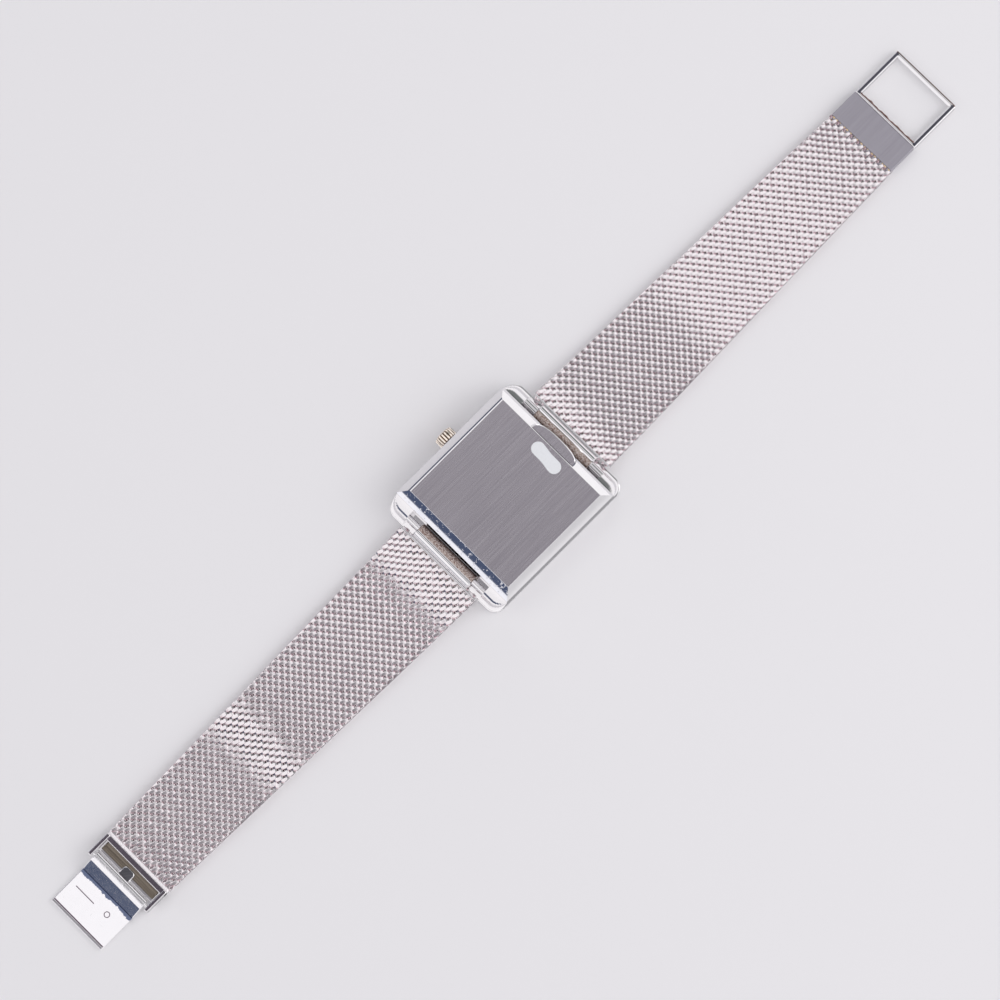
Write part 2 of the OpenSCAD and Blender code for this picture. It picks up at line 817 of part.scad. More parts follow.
module stem() {
    color("silver") union() {
        shaft_y(0, stem_z, pivot_r, stem_in, pivot_end);
        translate([0, pivot_end, stem_z]) rotate([-90, 45, 0])
            cylinder(r = square_r, h = square_end - pivot_end, $fn = 4);
        shaft_y(0, stem_z, stem_r, square_end, groove_span[0]);
        shaft_y(0, stem_z, groove_r, groove_span[0], groove_span[1]);
        shaft_y(0, stem_z, stem_r, groove_span[1], crown_y0 + crown_bore_len + stem_seat);
    }
}

module sliding_pinion() {
    mod = pinion_r / (pinion_teeth / 2 + tooth_tip);
    color("silver") difference() {
        union() {
            translate([0, pinion_span[0], stem_z]) rotate([-90, 0, 0])
                linear_extrude(pinion_span[1] - pinion_span[0])
                    polygon(gear_points(pinion_teeth, mod, 0));
            shaft_y(0, stem_z, pinion_r - pinion_core, pinion_span[0], pinion_span[1]);
        }
        translate([0, pinion_span[0] - cut, stem_z]) rotate([-90, 45, 0])
            cylinder(r = square_r + run_gap, h = pinion_span[1] - pinion_span[0] + 2 * cut, $fn = 4);
    }
}

module setting_lever() {
    y = (groove_span[0] + groove_span[1]) / 2;
    color("silver") difference() {
        union() {
            translate([0, y - lever_head_r, lever_z]) cube([lever_arm, 2 * lever_head_r, lever_t]);
            post([lever_arm, y], lever_boss_r, lever_z, lever_z + lever_t);
            post([0, y], lever_head_r, lever_z, lever_z + lever_t);
            post([0, y], lever_pin_r, stem_z + groove_r + run_gap, lever_z + eps);
        }
        post([lever_arm, y], lever_pin_r + run_gap, lever_z - cut, lever_z + cut);
    }
}

// A tapered baton with its hub, pointing along angle a
module hand(len, hub_r, bore_r, a, z) {
    translate([0, 0, z]) difference() {
        linear_extrude(hand_t) union() {
            circle(hub_r);
            rotate([0, 0, a])
                polygon([[-hand_tail, -hand_w / 3], [len - hand_tip, -hand_w / 2], [len, 0],
                    [len - hand_tip, hand_w / 2], [-hand_tail, hand_w / 3]]);
        }
        translate([0, 0, -cut]) cylinder(r = bore_r, h = 2 * cut + hand_t);
    }
}

module minute_hand() {
    color("midnightblue") hand(minute_len, minute_hub_r, cannon_r, minute_angle, minute_hand_z);
}

module hour_hand() {
    color("midnightblue") hand(hour_len, hand_hub_r, hour_tube_r, hour_angle, hour_hand_z);
}

module cannon_pinion() {
    color("silver") difference() {
        union() {
            post([0, 0], cannon_r, minute_hand_z - hub_out, main_z - cannon_gap);
            gear([0, 0], cannon_teeth, gear_mod, 0, minute_wheel_z - cannon_gap,
                main_z - cannon_gap);
        }
        post([0, 0], centre_arbor_r + run_gap, 0, main_z + cut);
    }
}

module minute_wheel() {
    color("silver") difference() {
        union() {
            gear(minute_at, minute_teeth, gear_mod, minute_phase, minute_wheel_z,
                minute_wheel_z + minute_wheel_t);
            gear(minute_at, minute_pinion_teeth, hour_mod, 0, hour_wheel_z, minute_wheel_z);
        }
        post(minute_at, centre_arbor_r + run_gap, dial_z, main_z);
    }
}

module hour_wheel() {
    color("gold") difference() {
        union() {
            gear([0, 0], hour_teeth, hour_mod, hour_phase, hour_wheel_z,
                hour_wheel_z + hour_wheel_t);
            post([0, 0], hour_tube_r, hour_hand_z - hub_out, hour_wheel_z);
        }
        post([0, 0], cannon_r + run_gap, 0, main_z);
    }
}

module centre_wheel() {
    color("gold") union() {
        gear([0, 0], centre_teeth, gear_mod, 0, centre_z, centre_z + wheel_t);
        post([0, 0], centre_arbor_r, minute_hand_z, bridge_top);
        post([0, 0], centre_arbor_r + shoulder_w, main_top + run_gap, bridge_z - run_gap);
    }
}

// A train wheel with its pinion one level below it, on one arbor
module train_wheel(at, teeth, leaves, pinion_phase, z) {
    color("gold") union() {
        gear(at, teeth, gear_mod, 0, z, z + wheel_t);
        gear(at, leaves, gear_mod, pinion_phase, z - wheel_t - wheel_gap - pinion_over, z);
        post(at, arbor_r, main_z + arbor_in, bridge_top);
    }
}

module third_wheel() {
    train_wheel(third_at, third_teeth, third_pinion_teeth, third_phase, third_z);
}

module intermediate_wheel() {
    train_wheel(inter_at, inter_teeth, inter_pinion_teeth, inter_phase, intermediate_z);
}

module rotor() {
    color("dimgray") union() {
        post(rotor_at, magnet_r, stator_z - pinion_over, stator_z + stator_t + pinion_over);
        gear(rotor_at, rotor_teeth, gear_mod, rotor_phase, stator_z + stator_t + pinion_over,
            intermediate_z + wheel_t + pinion_over);
        post(rotor_at, arbor_r, main_z + arbor_in, bridge_top);
    }
}

// Side view of the strap between x0 and x1, slanted over each bending station
module strap_side(x0, x1, free0, free1) {
    lean = (mesh_t - bend_z) * tan(bend_slant);
    g0 = free0 ? 0 : bend_gap / 2;
    g1 = free1 ? 0 : bend_gap / 2;
    polygon([[x0 + g0, 0], [x1 - g1, 0], [x1 - g1, bend_z], [x1 - g1 - (free1 ? 0 : lean), mesh_t],
        [x0 + g0 + (free0 ? 0 : lean), mesh_t], [x0 + g0, bend_z]]);
}

// Plan of the tapered strap between x0 and x1
module strap_plan(x0, x1) {
    w0 = strap_w(x0) / 2;
    w1 = strap_w(x1) / 2;
    polygon([[x0, -w0], [x1, -w1], [x1, w1], [x0, w0]]);
}

// One stretch of the strap that lies on the ground, the k-th from the case
module mesh_piece(k) {
    x0 = mesh_x0 + (k - 1) * pitch;
    x1 = x0 + pitch;
    intersection() {
        across(mesh_w0) strap_side(x0, x1, false, k == mesh_n);
        linear_extrude(mesh_t) strap_plan(x0, x1);
    }
}

// First stretch: rolled round the spring bar, then down to the ground
module mesh_root() {
    x1 = mesh_x0 + pitch;
    end = x1 - bend_gap / 2;
    lean = (mesh_t - bend_z) * tan(bend_slant);
    difference() {
        union() {
            intersection() {
                across(mesh_w0)
                    polygon([[mesh_x0, fold_z], [end, 0], [end, bend_z], [end - lean, mesh_t],
                        [mesh_x0, fold_z + mesh_t]]);
                linear_extrude(3 * mesh_t) strap_plan(mesh_x0, x1);
            }
            across(tongue_w / 2)
                polygon([[bar_x, bar_z - roll_r], [mesh_x0, fold_z], [mesh_x0 + tongue_in, fold_z],
                    [mesh_x0 + tongue_in, fold_z + mesh_t - tongue_step],
                    [bar_x, fold_z + mesh_t]]);
            shaft_y(bar_x, bar_z, roll_r, -tongue_w / 2, tongue_w / 2);
        }
        shaft_y(bar_x, bar_z, bar_r + run_gap, -case_hy, case_hy);
    }
}

// Polished bead and edge trim that close the rolled strap end
module end_link() {
    top = fold_z + mesh_t;
    color("white") difference() {
        union() {
            shaft_y(bar_x + bead_out, bar_z + bead_up, bead_r, -tongue_w / 2, tongue_w / 2);
            translate([mesh_x0, -mesh_w0 / 2, top]) cube([trim_w, mesh_w0, trim_t]);
            translate([bar_x + link_in, -tongue_w / 2, top])
                cube([mesh_x0 - bar_x - link_in + eps, tongue_w, trim_t]);
        }
        shaft_y(bar_x, bar_z, roll_r, -case_hy, case_hy);
        translate([bar_x - link_in, -case_hy, 0])
            cube([mesh_x0 - bar_x + 2 * link_in, 2 * case_hy, top]);
    }
}

// Both strap halves are alike, so the six o'clock half is the other one turned round
module turned() {
    rotate([0, 0, 180]) children();
}

module end_link_12() {
    end_link();
}

module end_link_6() {
    turned() end_link();
}

module mesh_12_1() {
    color("lightgray") mesh_root();
}

module mesh_12_2() {
    color("lightgray") mesh_piece(2);
}

module mesh_12_3() {
    color("lightgray") mesh_piece(3);
}

module mesh_12_4() {
    color("lightgray") mesh_piece(4);
}

module mesh_12_5() {
    color("lightgray") mesh_piece(5);
}

module mesh_12_6() {
    color("lightgray") mesh_piece(6);
}

module mesh_6_1() {
    color("lightgray") turned() mesh_root();
}

module mesh_6_2() {
    color("lightgray") turned() mesh_piece(2);
}

module mesh_6_3() {
    color("lightgray") turned() mesh_piece(3);
}

module mesh_6_4() {
    color("lightgray") turned() mesh_piece(4);
}

module mesh_6_5() {
    color("lightgray") turned() mesh_piece(5);
}

module mesh_6_6() {
    color("lightgray") turned() mesh_piece(6);
}

module loop_plate() {
    color("silver") translate([mesh_x1, -clasp_w / 2, 0]) cube([plate_len, clasp_w, plate_h]);
}

module loop_frame() {
    x0 = mesh_x1 + plate_len;
    len = frame_near + frame_in + frame_far;
    in_w = clasp_w - 2 * frame_side;
    color("lightgray") difference() {
        translate([x0, -clasp_w / 2, 0]) cube([len, clasp_w, frame_h]);
        translate([x0 + frame_near, -in_w / 2, -cut]) cube([frame_in, in_w, frame_h + 2 * cut]);
    }
}

module clasp_box() {
    end_x = mesh_x1 + box_len;
    rim_x = mesh_x1 + rim_len;
    color("silver") turned() difference() {
        union() {
            translate([mesh_x1, -clasp_w / 2, 0]) cube([floor_len, clasp_w, floor_t]);
            translate([mesh_x1, -clasp_w / 2, 0]) cube([rim_x - mesh_x1, clasp_w, rim_h]);
            for (sy = [-1, 1])
                translate([mesh_x1, sy * (clasp_w - arm_t) / 2 - arm_t / 2, 0])
                    cube([end_x - mesh_x1, arm_t, box_h]);
        }
        shaft_y(hinge_x, hinge_z, pin_r, -clasp_w, clasp_w);
    }
}

module clasp_leaf() {
    leaf_w = clasp_w - 2 * arm_t - 2 * leaf_gap;
    color("rosybrown") turned()
        translate([mesh_x1 + rim_len, -leaf_w / 2, floor_t]) cube([leaf_len, leaf_w, leaf_t]);
}

module clasp_catch() {
    x0 = mesh_x1 + catch_in;
    color("dimgray") turned() linear_extrude_at(floor_t + leaf_t, catch_h) union() {
        translate([x0 + catch_len - catch_bar, -catch_w / 2]) square([catch_bar, catch_w]);
        intersection() {
            translate([x0 + catch_w / 2, 0]) circle(catch_w / 2);
            translate([x0, -catch_w / 2]) square([catch_len, catch_w]);
        }
    }
}

module clasp_pin() {
    color("white") turned()
        shaft_y(hinge_x, hinge_z, pin_r, -clasp_w / 2 - pin_out, clasp_w / 2 + pin_out);
}

module clasp_hook() {
    centre = [hinge_x + barrel_r, hinge_z + barrel_r - root_r];
    foot = sqrt(pow(root_r, 2) - pow(hook_t - centre[1], 2));
    tip = hinge_x + hook_len;
    color("whitesmoke") turned() difference() {
        union() {
            shaft_y(hinge_x, hinge_z, barrel_r, -hook_w / 2, hook_w / 2);
            across(hook_w / 2) union() {
                translate([hinge_x, hinge_z + barrel_r - hook_t]) square([barrel_r, hook_t]);
                intersection() {
                    difference() {
                        translate(centre) circle(root_r);
                        translate(centre) circle(root_r - hook_t);
                    }
                    translate([centre[0], 0]) square([root_r, root_r]);
                }
                translate([centre[0] + foot - hook_t, 0])
                    square([tip - centre[0] - foot + hook_t, hook_t]);
                translate([tip - hem_len, 0]) square([hem_len, 2 * hook_t]);
            }
        }
        shaft_y(hinge_x, hinge_z, pin_r + run_gap, -clasp_w, clasp_w);
    }
}

case_front();
crystal();
crystal_gasket();
case_back();
back_gasket();
crown_tube();
movement_ring();
dial();
hour_markers();
main_plate();
train_bridge();
movement_screws();
battery();
battery_clamp();
circuit_board();
chip();
quartz_can();
coil();
coil_core();
stator();
spring_bar_12();
spring_bar_6();
crown_seal();
crown();
stem();
sliding_pinion();
setting_lever();
minute_hand();
cannon_pinion();
minute_wheel();
hour_hand();
hour_wheel();
centre_wheel();
third_wheel();
intermediate_wheel();
rotor();
end_link_12();
mesh_12_1();
mesh_12_2();
mesh_12_3();
mesh_12_4();
mesh_12_5();
mesh_12_6();
loop_plate();
loop_frame();
end_link_6();
mesh_6_1();
mesh_6_2();
mesh_6_3();
mesh_6_4();
mesh_6_5();
mesh_6_6();
clasp_box();
clasp_leaf();
clasp_catch();
clasp_pin();
clasp_hook();
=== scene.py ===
import math

import bmesh
import bpy
from mathutils import Matrix, Vector


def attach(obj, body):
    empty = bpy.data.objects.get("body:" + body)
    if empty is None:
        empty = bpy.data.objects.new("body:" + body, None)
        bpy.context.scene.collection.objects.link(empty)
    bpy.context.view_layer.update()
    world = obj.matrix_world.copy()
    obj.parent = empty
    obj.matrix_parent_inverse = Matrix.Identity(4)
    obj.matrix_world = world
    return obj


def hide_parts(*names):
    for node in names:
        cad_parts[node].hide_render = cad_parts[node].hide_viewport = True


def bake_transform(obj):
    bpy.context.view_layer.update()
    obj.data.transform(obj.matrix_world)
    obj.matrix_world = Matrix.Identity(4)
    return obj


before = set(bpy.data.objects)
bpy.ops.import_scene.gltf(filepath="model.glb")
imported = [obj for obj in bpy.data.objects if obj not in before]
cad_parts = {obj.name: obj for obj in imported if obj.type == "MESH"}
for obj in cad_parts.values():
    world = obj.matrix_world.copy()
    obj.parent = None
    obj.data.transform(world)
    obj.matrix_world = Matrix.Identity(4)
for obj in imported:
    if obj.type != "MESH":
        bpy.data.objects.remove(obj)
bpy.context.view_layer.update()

# Camera: a long lens almost straight above the watch, whose strap runs up to the right. Its place and turn follow
# from the square grid on the mat in the photograph.
camera_data = bpy.data.cameras.new("camera")
camera_data.sensor_width = 36
camera_data.lens = 151.2
camera_data.clip_start = 0.01
camera = bpy.data.objects.new("camera", camera_data)
camera.matrix_world = Matrix(((0.705705, 0.701869, -0.096745, -0.06574),
                              (-0.708473, 0.697760, -0.105815, -0.07067),
                              (-0.006764, 0.143215, 0.989668, 0.66511),
                              (0, 0, 0, 1)))
bpy.context.scene.collection.objects.link(camera)
bpy.context.scene.camera = camera
bpy.context.scene.view_settings.view_transform = "Standard"

# Light: a white tent all round. The lens looks in through a dark round opening overhead, so flat steel that faces up
# turns grey and whatever leans away turns white. Low and dim things stand beyond the tent's gaps.
def math_node(tree, operation, a, b=None, c=None):
    node = tree.nodes.new("ShaderNodeMath")
    node.operation = operation
    for socket, value in zip(node.inputs, (a, b, c)):
        if value is None:
            continue
        if isinstance(value, (int, float)):
            socket.default_value = value
        else:
            tree.links.new(value, socket)
    return node.outputs[0]


def smooth_mask(tree, value, start, stop):
    node = tree.nodes.new("ShaderNodeMapRange")
    node.interpolation_type = "SMOOTHSTEP"
    node.inputs["From Min"].default_value = start
    node.inputs["From Max"].default_value = stop
    tree.links.new(value, node.inputs["Value"])
    return node.outputs[0]


def mixed(tree, factor, first, second):
    node = tree.nodes.new("ShaderNodeMix")
    node.data_type = "RGBA"
    tree.links.new(factor, node.inputs["Factor"])
    for socket, value in ((node.inputs[6], first), (node.inputs[7], second)):
        if isinstance(value, tuple):
            socket.default_value = (*value, 1)
        else:
            tree.links.new(value, socket)
    return node.outputs[2]


world = bpy.data.worlds.new("tent")
world.use_nodes = True
sky = world.node_tree
sky.nodes.clear()
direction = sky.nodes.new("ShaderNodeTexCoord")
split = sky.nodes.new("ShaderNodeSeparateXYZ")
ramp = sky.nodes.new("ShaderNodeValToRGB")
background = sky.nodes.new("ShaderNodeBackground")
sky_out = sky.nodes.new("ShaderNodeOutputWorld")
stops = [(0.0, 1.10), (0.30, 1.08), (0.75, 1.06), (1.0, 1.14)]
while len(ramp.color_ramp.elements) < len(stops):
    ramp.color_ramp.elements.new(0.5)
for element, (position, level) in zip(ramp.color_ramp.elements, stops):
    element.position = position
    element.color = (level, level * 0.985, level, 1)
background.inputs["Strength"].default_value = 1.0
sky.links.new(direction.outputs["Generated"], split.inputs[0])
sky.links.new(split.outputs["Z"], ramp.inputs[0])
tent = ramp.outputs[0]
openings = [((0.0358, 0.0375, 0.9987), 0.9805, 0.9930, (0.285, 0.275, 0.295)),
            ((0.5401, 0.1447, 0.8290), 0.9799, 0.9898, (0.13, 0.145, 0.14)),
            ((0.7400, 0.1980, 0.6430), 0.9510, 0.9900, (0.20, 0.21, 0.21)),
            ((0.0900, 0.9020, 0.4230), 0.8988, 0.9510, (0.12, 0.13, 0.18)),
            ((0.0900, -0.9290, 0.3590), 0.8830, 0.9850, (0.74, 0.73, 0.75)),
            ((0.2200, 0.1000, -0.9700), 0.8900, 0.9700, (0.34, 0.335, 0.35))]
for axis, edge, core, colour in openings:
    facing = sky.nodes.new("ShaderNodeVectorMath")
    facing.operation = "DOT_PRODUCT"
    facing.inputs[1].default_value = axis
    sky.links.new(direction.outputs["Generated"], facing.inputs[0])
    tent = mixed(sky, smooth_mask(sky, facing.outputs["Value"], edge, core), tent, colour)
low = math_node(sky, "ABSOLUTE", math_node(sky, "SUBTRACT", split.outputs["Z"], 0.34))
card = math_node(sky, "MULTIPLY", smooth_mask(sky, split.outputs["X"], -0.80, -0.90), smooth_mask(sky, low, 0.12, 0.09))
tent = mixed(sky, card, tent, (0.083, 0.104, 0.172))
sky.links.new(tent, background.inputs[0])
sky.links.new(background.outputs[0], sky_out.inputs[0])
bpy.context.scene.world = world

lamp_data = bpy.data.lights.new("window", "AREA")
lamp_data.shape = "RECTANGLE"
lamp_data.size, lamp_data.size_y = 0.5, 0.35
lamp_data.energy = 1.1
lamp = bpy.data.objects.new("window", lamp_data)
lamp.location = (0.42, -0.42, 0.42)
lamp.rotation_euler = (Vector((0, 0, 0)) - Vector(lamp.location)).to_track_quat("-Z", "Y").to_euler()
bpy.context.scene.collection.objects.link(lamp)


# Floor: a plain pale mat. Seen from below it lets the view through, and the short rays that leave the underside of
# the watch, so that the watch's front can be looked at in full light.
def new_material(name, colour, rough, metal=1.0):
    material = bpy.data.materials.new(name)
    material.use_nodes = True
    tree = material.node_tree
    shader = tree.nodes["Principled BSDF"]
    shader.inputs["Base Color"].default_value = (*colour, 1)
    shader.inputs["Roughness"].default_value = rough
    shader.inputs["Metallic"].default_value = metal
    return material, tree, shader


floor_bm = bmesh.new()
bmesh.ops.create_grid(floor_bm, x_segments=1, y_segments=1, size=1.6)
floor_mesh = bpy.data.meshes.new("floor")
floor_bm.to_mesh(floor_mesh)
floor_bm.free()
floor = bpy.data.objects.new("floor", floor_mesh)
bpy.context.scene.collection.objects.link(floor)
floor_material, tree, shader = new_material("mat", (0.755, 0.748, 0.765), 0.7, 0.0)
shader.inputs["Specular IOR Level"].default_value = 0.15
side = tree.nodes.new("ShaderNodeNewGeometry")
clear = tree.nodes.new("ShaderNodeBsdfTransparent")
mix = tree.nodes.new("ShaderNodeMixShader")
ray = tree.nodes.new("ShaderNodeLightPath")
short = math_node(tree, "LESS_THAN", ray.outputs["Ray Length"], 0.006)
unseen = math_node(tree, "SUBTRACT", 1.0, ray.outputs["Is Camera Ray"])
passed = math_node(tree, "MAXIMUM", side.outputs["Backfacing"], math_node(tree, "MULTIPLY", short, unseen))
tree.links.new(passed, mix.inputs[0])
tree.links.new(shader.outputs[0], mix.inputs[1])
tree.links.new(clear.outputs[0], mix.inputs[2])
tree.links.new(mix.outputs[0], tree.nodes["Material Output"].inputs[0])
floor_mesh.materials.append(floor_material)

# Case front: one forged piece with a flat front plate, walls round the movement and four rounded hoods that cover
# the strap ends. The plate's edge stands out as a thin flange round each hood.
mm = 0.001


def node_group(name, inputs, outputs):
    group = bpy.data.node_groups.new(name, "ShaderNodeTree")
    for label, kind, default in inputs:
        socket = group.interface.new_socket(label, in_out="INPUT", socket_type=kind)
        if default is not None:
            socket.default_value = default
    for label, kind in outputs:
        group.interface.new_socket(label, in_out="OUTPUT", socket_type=kind)
    return group, group.nodes.new("NodeGroupInput"), group.nodes.new("NodeGroupOutput")


def noise(tree, vector, scale, detail=3.0, rough=0.55):
    node = tree.nodes.new("ShaderNodeTexNoise")
    node.inputs["Scale"].default_value = scale
    node.inputs["Detail"].default_value = detail
    node.inputs["Roughness"].default_value = rough
    tree.links.new(vector, node.inputs["Vector"])
    return node.outputs["Fac"]


def stretched(tree, vector, scale, turn=(0, 0, 0)):
    node = tree.nodes.new("ShaderNodeMapping")
    node.inputs["Scale"].default_value = scale
    node.inputs["Rotation"].default_value = [math.radians(a) for a in turn]
    tree.links.new(vector, node.inputs["Vector"])
    return node.outputs[0]


# Handling: soft smears and hair-fine scratches that polished metal picks up in use.
handling, g_in, g_out = node_group("handling", [("Vector", "NodeSocketVector", None)],
                                   [("Smear", "NodeSocketFloat"), ("Scratch", "NodeSocketFloat")])
smear = noise(handling, g_in.outputs["Vector"], 420.0, 4.0, 0.6)
one = noise(handling, stretched(handling, g_in.outputs["Vector"], (260, 9000, 9000), (0, 0, 31)), 1.0, 1.0)
two = noise(handling, stretched(handling, g_in.outputs["Vector"], (310, 8000, 8000), (0, 0, -52)), 1.0, 1.0)
scratch = math_node(handling, "GREATER_THAN", math_node(handling, "MAXIMUM", one, two), 0.77)
handling.links.new(smear, g_out.inputs["Smear"])
handling.links.new(scratch, g_out.inputs["Scratch"])


def object_place(tree):
    return tree.nodes.new("ShaderNodeTexCoord").outputs["Object"]


def add_group(tree, group, vector=None, **values):
    node = tree.nodes.new("ShaderNodeGroup")
    node.node_tree = group
    if vector is None:
        vector = object_place(tree)
    tree.links.new(vector, node.inputs["Vector"])
    for label, value in values.items():
        node.inputs[label].default_value = value
    return node


def span(tree, value, low, high):
    node = tree.nodes.new("ShaderNodeMapRange")
    node.inputs["To Min"].default_value = low
    node.inputs["To Max"].default_value = high
    tree.links.new(value, node.inputs["Value"])
    return node.outputs[0]


def bump(tree, shader, height, strength, distance):
    node = tree.nodes.new("ShaderNodeBump")
    node.inputs["Strength"].default_value = strength
    node.inputs["Distance"].default_value = distance
    tree.links.new(height, node.inputs["Height"])
    tree.links.new(node.outputs[0], shader.inputs["Normal"])


def paint(tree, shader, mask, first, second):
    tree.links.new(mixed(tree, mask, first, second), shader.inputs["Base Color"])


def gloss(tree, shader, mask, low, high):
    tree.links.new(span(tree, mask, low, high), shader.inputs["Roughness"])


def polished(name, colour, rough=(0.05, 0.16), dull=None):
    material, tree, shader = new_material(name, colour, rough[0])
    marks = add_group(tree, handling)
    gloss(tree, shader, marks.outputs["Smear"], *rough)
    dull = dull or tuple(c * 0.9 for c in colour)
    paint(tree, shader, marks.outputs["Smear"], dull, colour)
    bump(tree, shader, marks.outputs["Scratch"], 0.05, 0.00001)
    return material


def add_piece(bm, name, body, materials, replaces=(), angle=32, flats=5, rims=9.0):
    bmesh.ops.remove_doubles(bm, verts=bm.verts, dist=1e-7)
    bm.normal_update()
    areas = {face: face.calc_area() for face in bm.faces}
    for edge in bm.edges:
        turn = edge.calc_face_angle(0) if len(edge.link_faces) == 2 else math.pi
        sizes = [areas[face] for face in edge.link_faces]
        wide = turn > 0.03 and max(sizes) > flats * min(sizes)
        rim = turn > rims and max(abs(face.normal.z) for face in edge.link_faces) > 0.985
        edge.smooth = turn < math.radians(angle) and not wide and not rim
    for face in bm.faces:
        face.smooth = True
    mesh = bpy.data.meshes.new(name)
    bm.to_mesh(mesh)
    bm.free()
    for material in materials:
        mesh.materials.append(material)
    piece = bpy.data.objects.new(name, mesh)
    bpy.context.scene.collection.objects.link(piece)
    if body:
        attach(piece, body)
    if replaces:
        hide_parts(*replaces)
    return piece


def bevel_edges(bm, edges, width, segments=2):
    bmesh.ops.bevel(bm, geom=list(edges), offset=width * mm, segments=segments, profile=0.5, affect="EDGES",
                    clamp_overlap=True, material=-1)


def sharp_edges(bm, angle, above=-1.0):
    """Edges that turn by more than angle degrees and lie wholly above a height in millimetres."""
    return [e for e in bm.edges if len(e.link_faces) == 2 and e.calc_face_angle(0) > math.radians(angle)
            and min(v.co.z for v in e.verts) > above * mm]


def rounded_outline(bm, hx, hy, radius, z, segments=8):
    made = bmesh.ops.create_grid(bm, x_segments=1, y_segments=1, size=1)
    bmesh.ops.scale(bm, vec=(hx * mm, hy * mm, 1), verts=made["verts"])
    bmesh.ops.translate(bm, vec=(0, 0, z * mm), verts=made["verts"])
    face = made["verts"][0].link_faces[0]
    if radius:
        bmesh.ops.bevel(bm, geom=list(face.verts), offset=radius * mm, segments=segments, profile=0.5,
                        affect="VERTICES", material=-1)
    faces = [f for f in bm.faces if abs(f.calc_center_median().z - z * mm) < 1e-7]
    return max(faces, key=lambda f: f.index if f.index >= 0 else 1e9)


def new_verts(result):
    return [v for v in result["geom"] if isinstance(v, bmesh.types.BMVert)]


def raise_faces(bm, faces, height):
    """Extrudes faces and lifts what is new by height millimetres."""
    up = bmesh.ops.extrude_face_region(bm, geom=faces)
    bmesh.ops.translate(bm, vec=(0, 0, height * mm), verts=new_verts(up))


def frame_ring(outer, inner, z0, z1, width=0.0, segments=8, keep=None):
    """A flat ring between two rounded rectangles (half length, half width, radius), from z0 to z1."""
    bm = bmesh.new()
    loops = []
    for hx, hy, radius in (outer, inner):
        part = bmesh.new()
        rounded_outline(part, hx, hy, radius or 0.02, z0, segments)
        outline = bpy.data.meshes.new("outline")
        bmesh.ops.delete(part, geom=list(part.faces), context="FACES_ONLY")
        part.to_mesh(outline)
        part.free()
        before = len(bm.edges)
        bm.from_mesh(outline)
        bpy.data.meshes.remove(outline)
        bm.edges.ensure_lookup_table()
        loops += bm.edges[before:]
    bmesh.ops.bridge_loops(bm, edges=loops)
    raise_faces(bm, list(bm.faces), z1 - z0)
    bmesh.ops.recalc_face_normals(bm, faces=bm.faces)
    if width:
        edges = sharp_edges(bm, 50)
        bevel_edges(bm, [e for e in edges if keep is None or keep(e)], width)
    return bm


def join(bm, other):
    """Adds another bmesh's shape to bm."""
    mesh = bpy.data.meshes.new("part")
    other.to_mesh(mesh)
    other.free()
    before = len(bm.verts)
    bm.from_mesh(mesh)
    bpy.data.meshes.remove(mesh)
    bm.verts.ensure_lookup_table()
    return bm.verts[before:]


polished_steel = polished("polished steel", (0.84, 0.825, 0.84))
case_hx, case_hy, body_hx, joint_z, plate_t = 14.7, 12.4, 12.0, 4.5, 0.9
hood_hx, hood_r, corner_r, recess_hy = 14.55, 2.95, 2.0, 8.6
case_bm = frame_ring((case_hx, case_hy, corner_r), (10.0, 9.2, 0.6), 0, plate_t, 0.14, 10)
join(case_bm, frame_ring((body_hx, case_hy, 0), (10.3, 10.7, 0), plate_t, joint_z, 0.05, 1,
                         lambda e: min(v.co.z for v in e.verts) > (joint_z - 0.01) * mm))
join(case_bm, frame_ring((10.5, 10.9, 0), (9.2, 8.4, 0.6), 1.0, 2.3, 0.05, 8))
centre_x = hood_hx - hood_r


def hood_reach(y):
    """How far a hood reaches beyond its round's centre at y, where the corner rounds it off."""
    over = max(0.0, y - (case_hy - corner_r))
    return hood_hx - corner_r + math.sqrt(corner_r ** 2 - over ** 2) - centre_x


for sx in (1, -1):
    for sy in (1, -1):
        hood_bm = bmesh.new()
        first = hood_bm.verts.new((hood_hx * mm, recess_hy * mm, plate_t * mm))
        bmesh.ops.spin(hood_bm, geom=[first], cent=(centre_x * mm, 0, plate_t * mm), axis=(0, -1, 0),
                       angle=math.acos((body_hx - centre_x) / hood_r), steps=28)
        last = max(hood_bm.verts, key=lambda v: v.co.z)
        corner = hood_bm.verts.new((body_hx * mm, recess_hy * mm, plate_t * mm))
        hood_bm.edges.new((last, corner))
        hood_bm.edges.new((corner, first))
        bmesh.ops.edgeloop_fill(hood_bm, edges=hood_bm.edges)
        cap = [f for f in hood_bm.faces]
        stations = [recess_hy, case_hy - corner_r]
        stations += [case_hy - corner_r + corner_r * math.sin(math.radians(a))
                     for a in (12, 24, 36, 48, 58, 67, 75, 82, 87)]
        for y0, y1 in zip(stations, stations[1:]):
            moved = bmesh.ops.extrude_face_region(hood_bm, geom=cap)
            verts = new_verts(moved)
            cap = [f for f in moved["geom"] if isinstance(f, bmesh.types.BMFace)]
            bmesh.ops.translate(hood_bm, vec=(0, (y1 - y0) * mm, 0), verts=verts)
            bmesh.ops.scale(hood_bm, vec=(hood_reach(y1) / hood_reach(y0), 1, 1), verts=verts,
                            space=Matrix.Translation((-centre_x * mm, 0, 0)))
        bmesh.ops.recalc_face_normals(hood_bm, faces=hood_bm.faces)
        round_edges = [e for e in sharp_edges(hood_bm, 55, plate_t + 0.01)
                       if min(v.co.x for v in e.verts) > (body_hx + 0.01) * mm]
        bevel_edges(hood_bm, round_edges, 0.12)
        bmesh.ops.scale(hood_bm, vec=(sx, sy, 1), verts=hood_bm.verts)
        if sx * sy < 0:
            bmesh.ops.reverse_faces(hood_bm, faces=hood_bm.faces)
        join(case_bm, hood_bm)
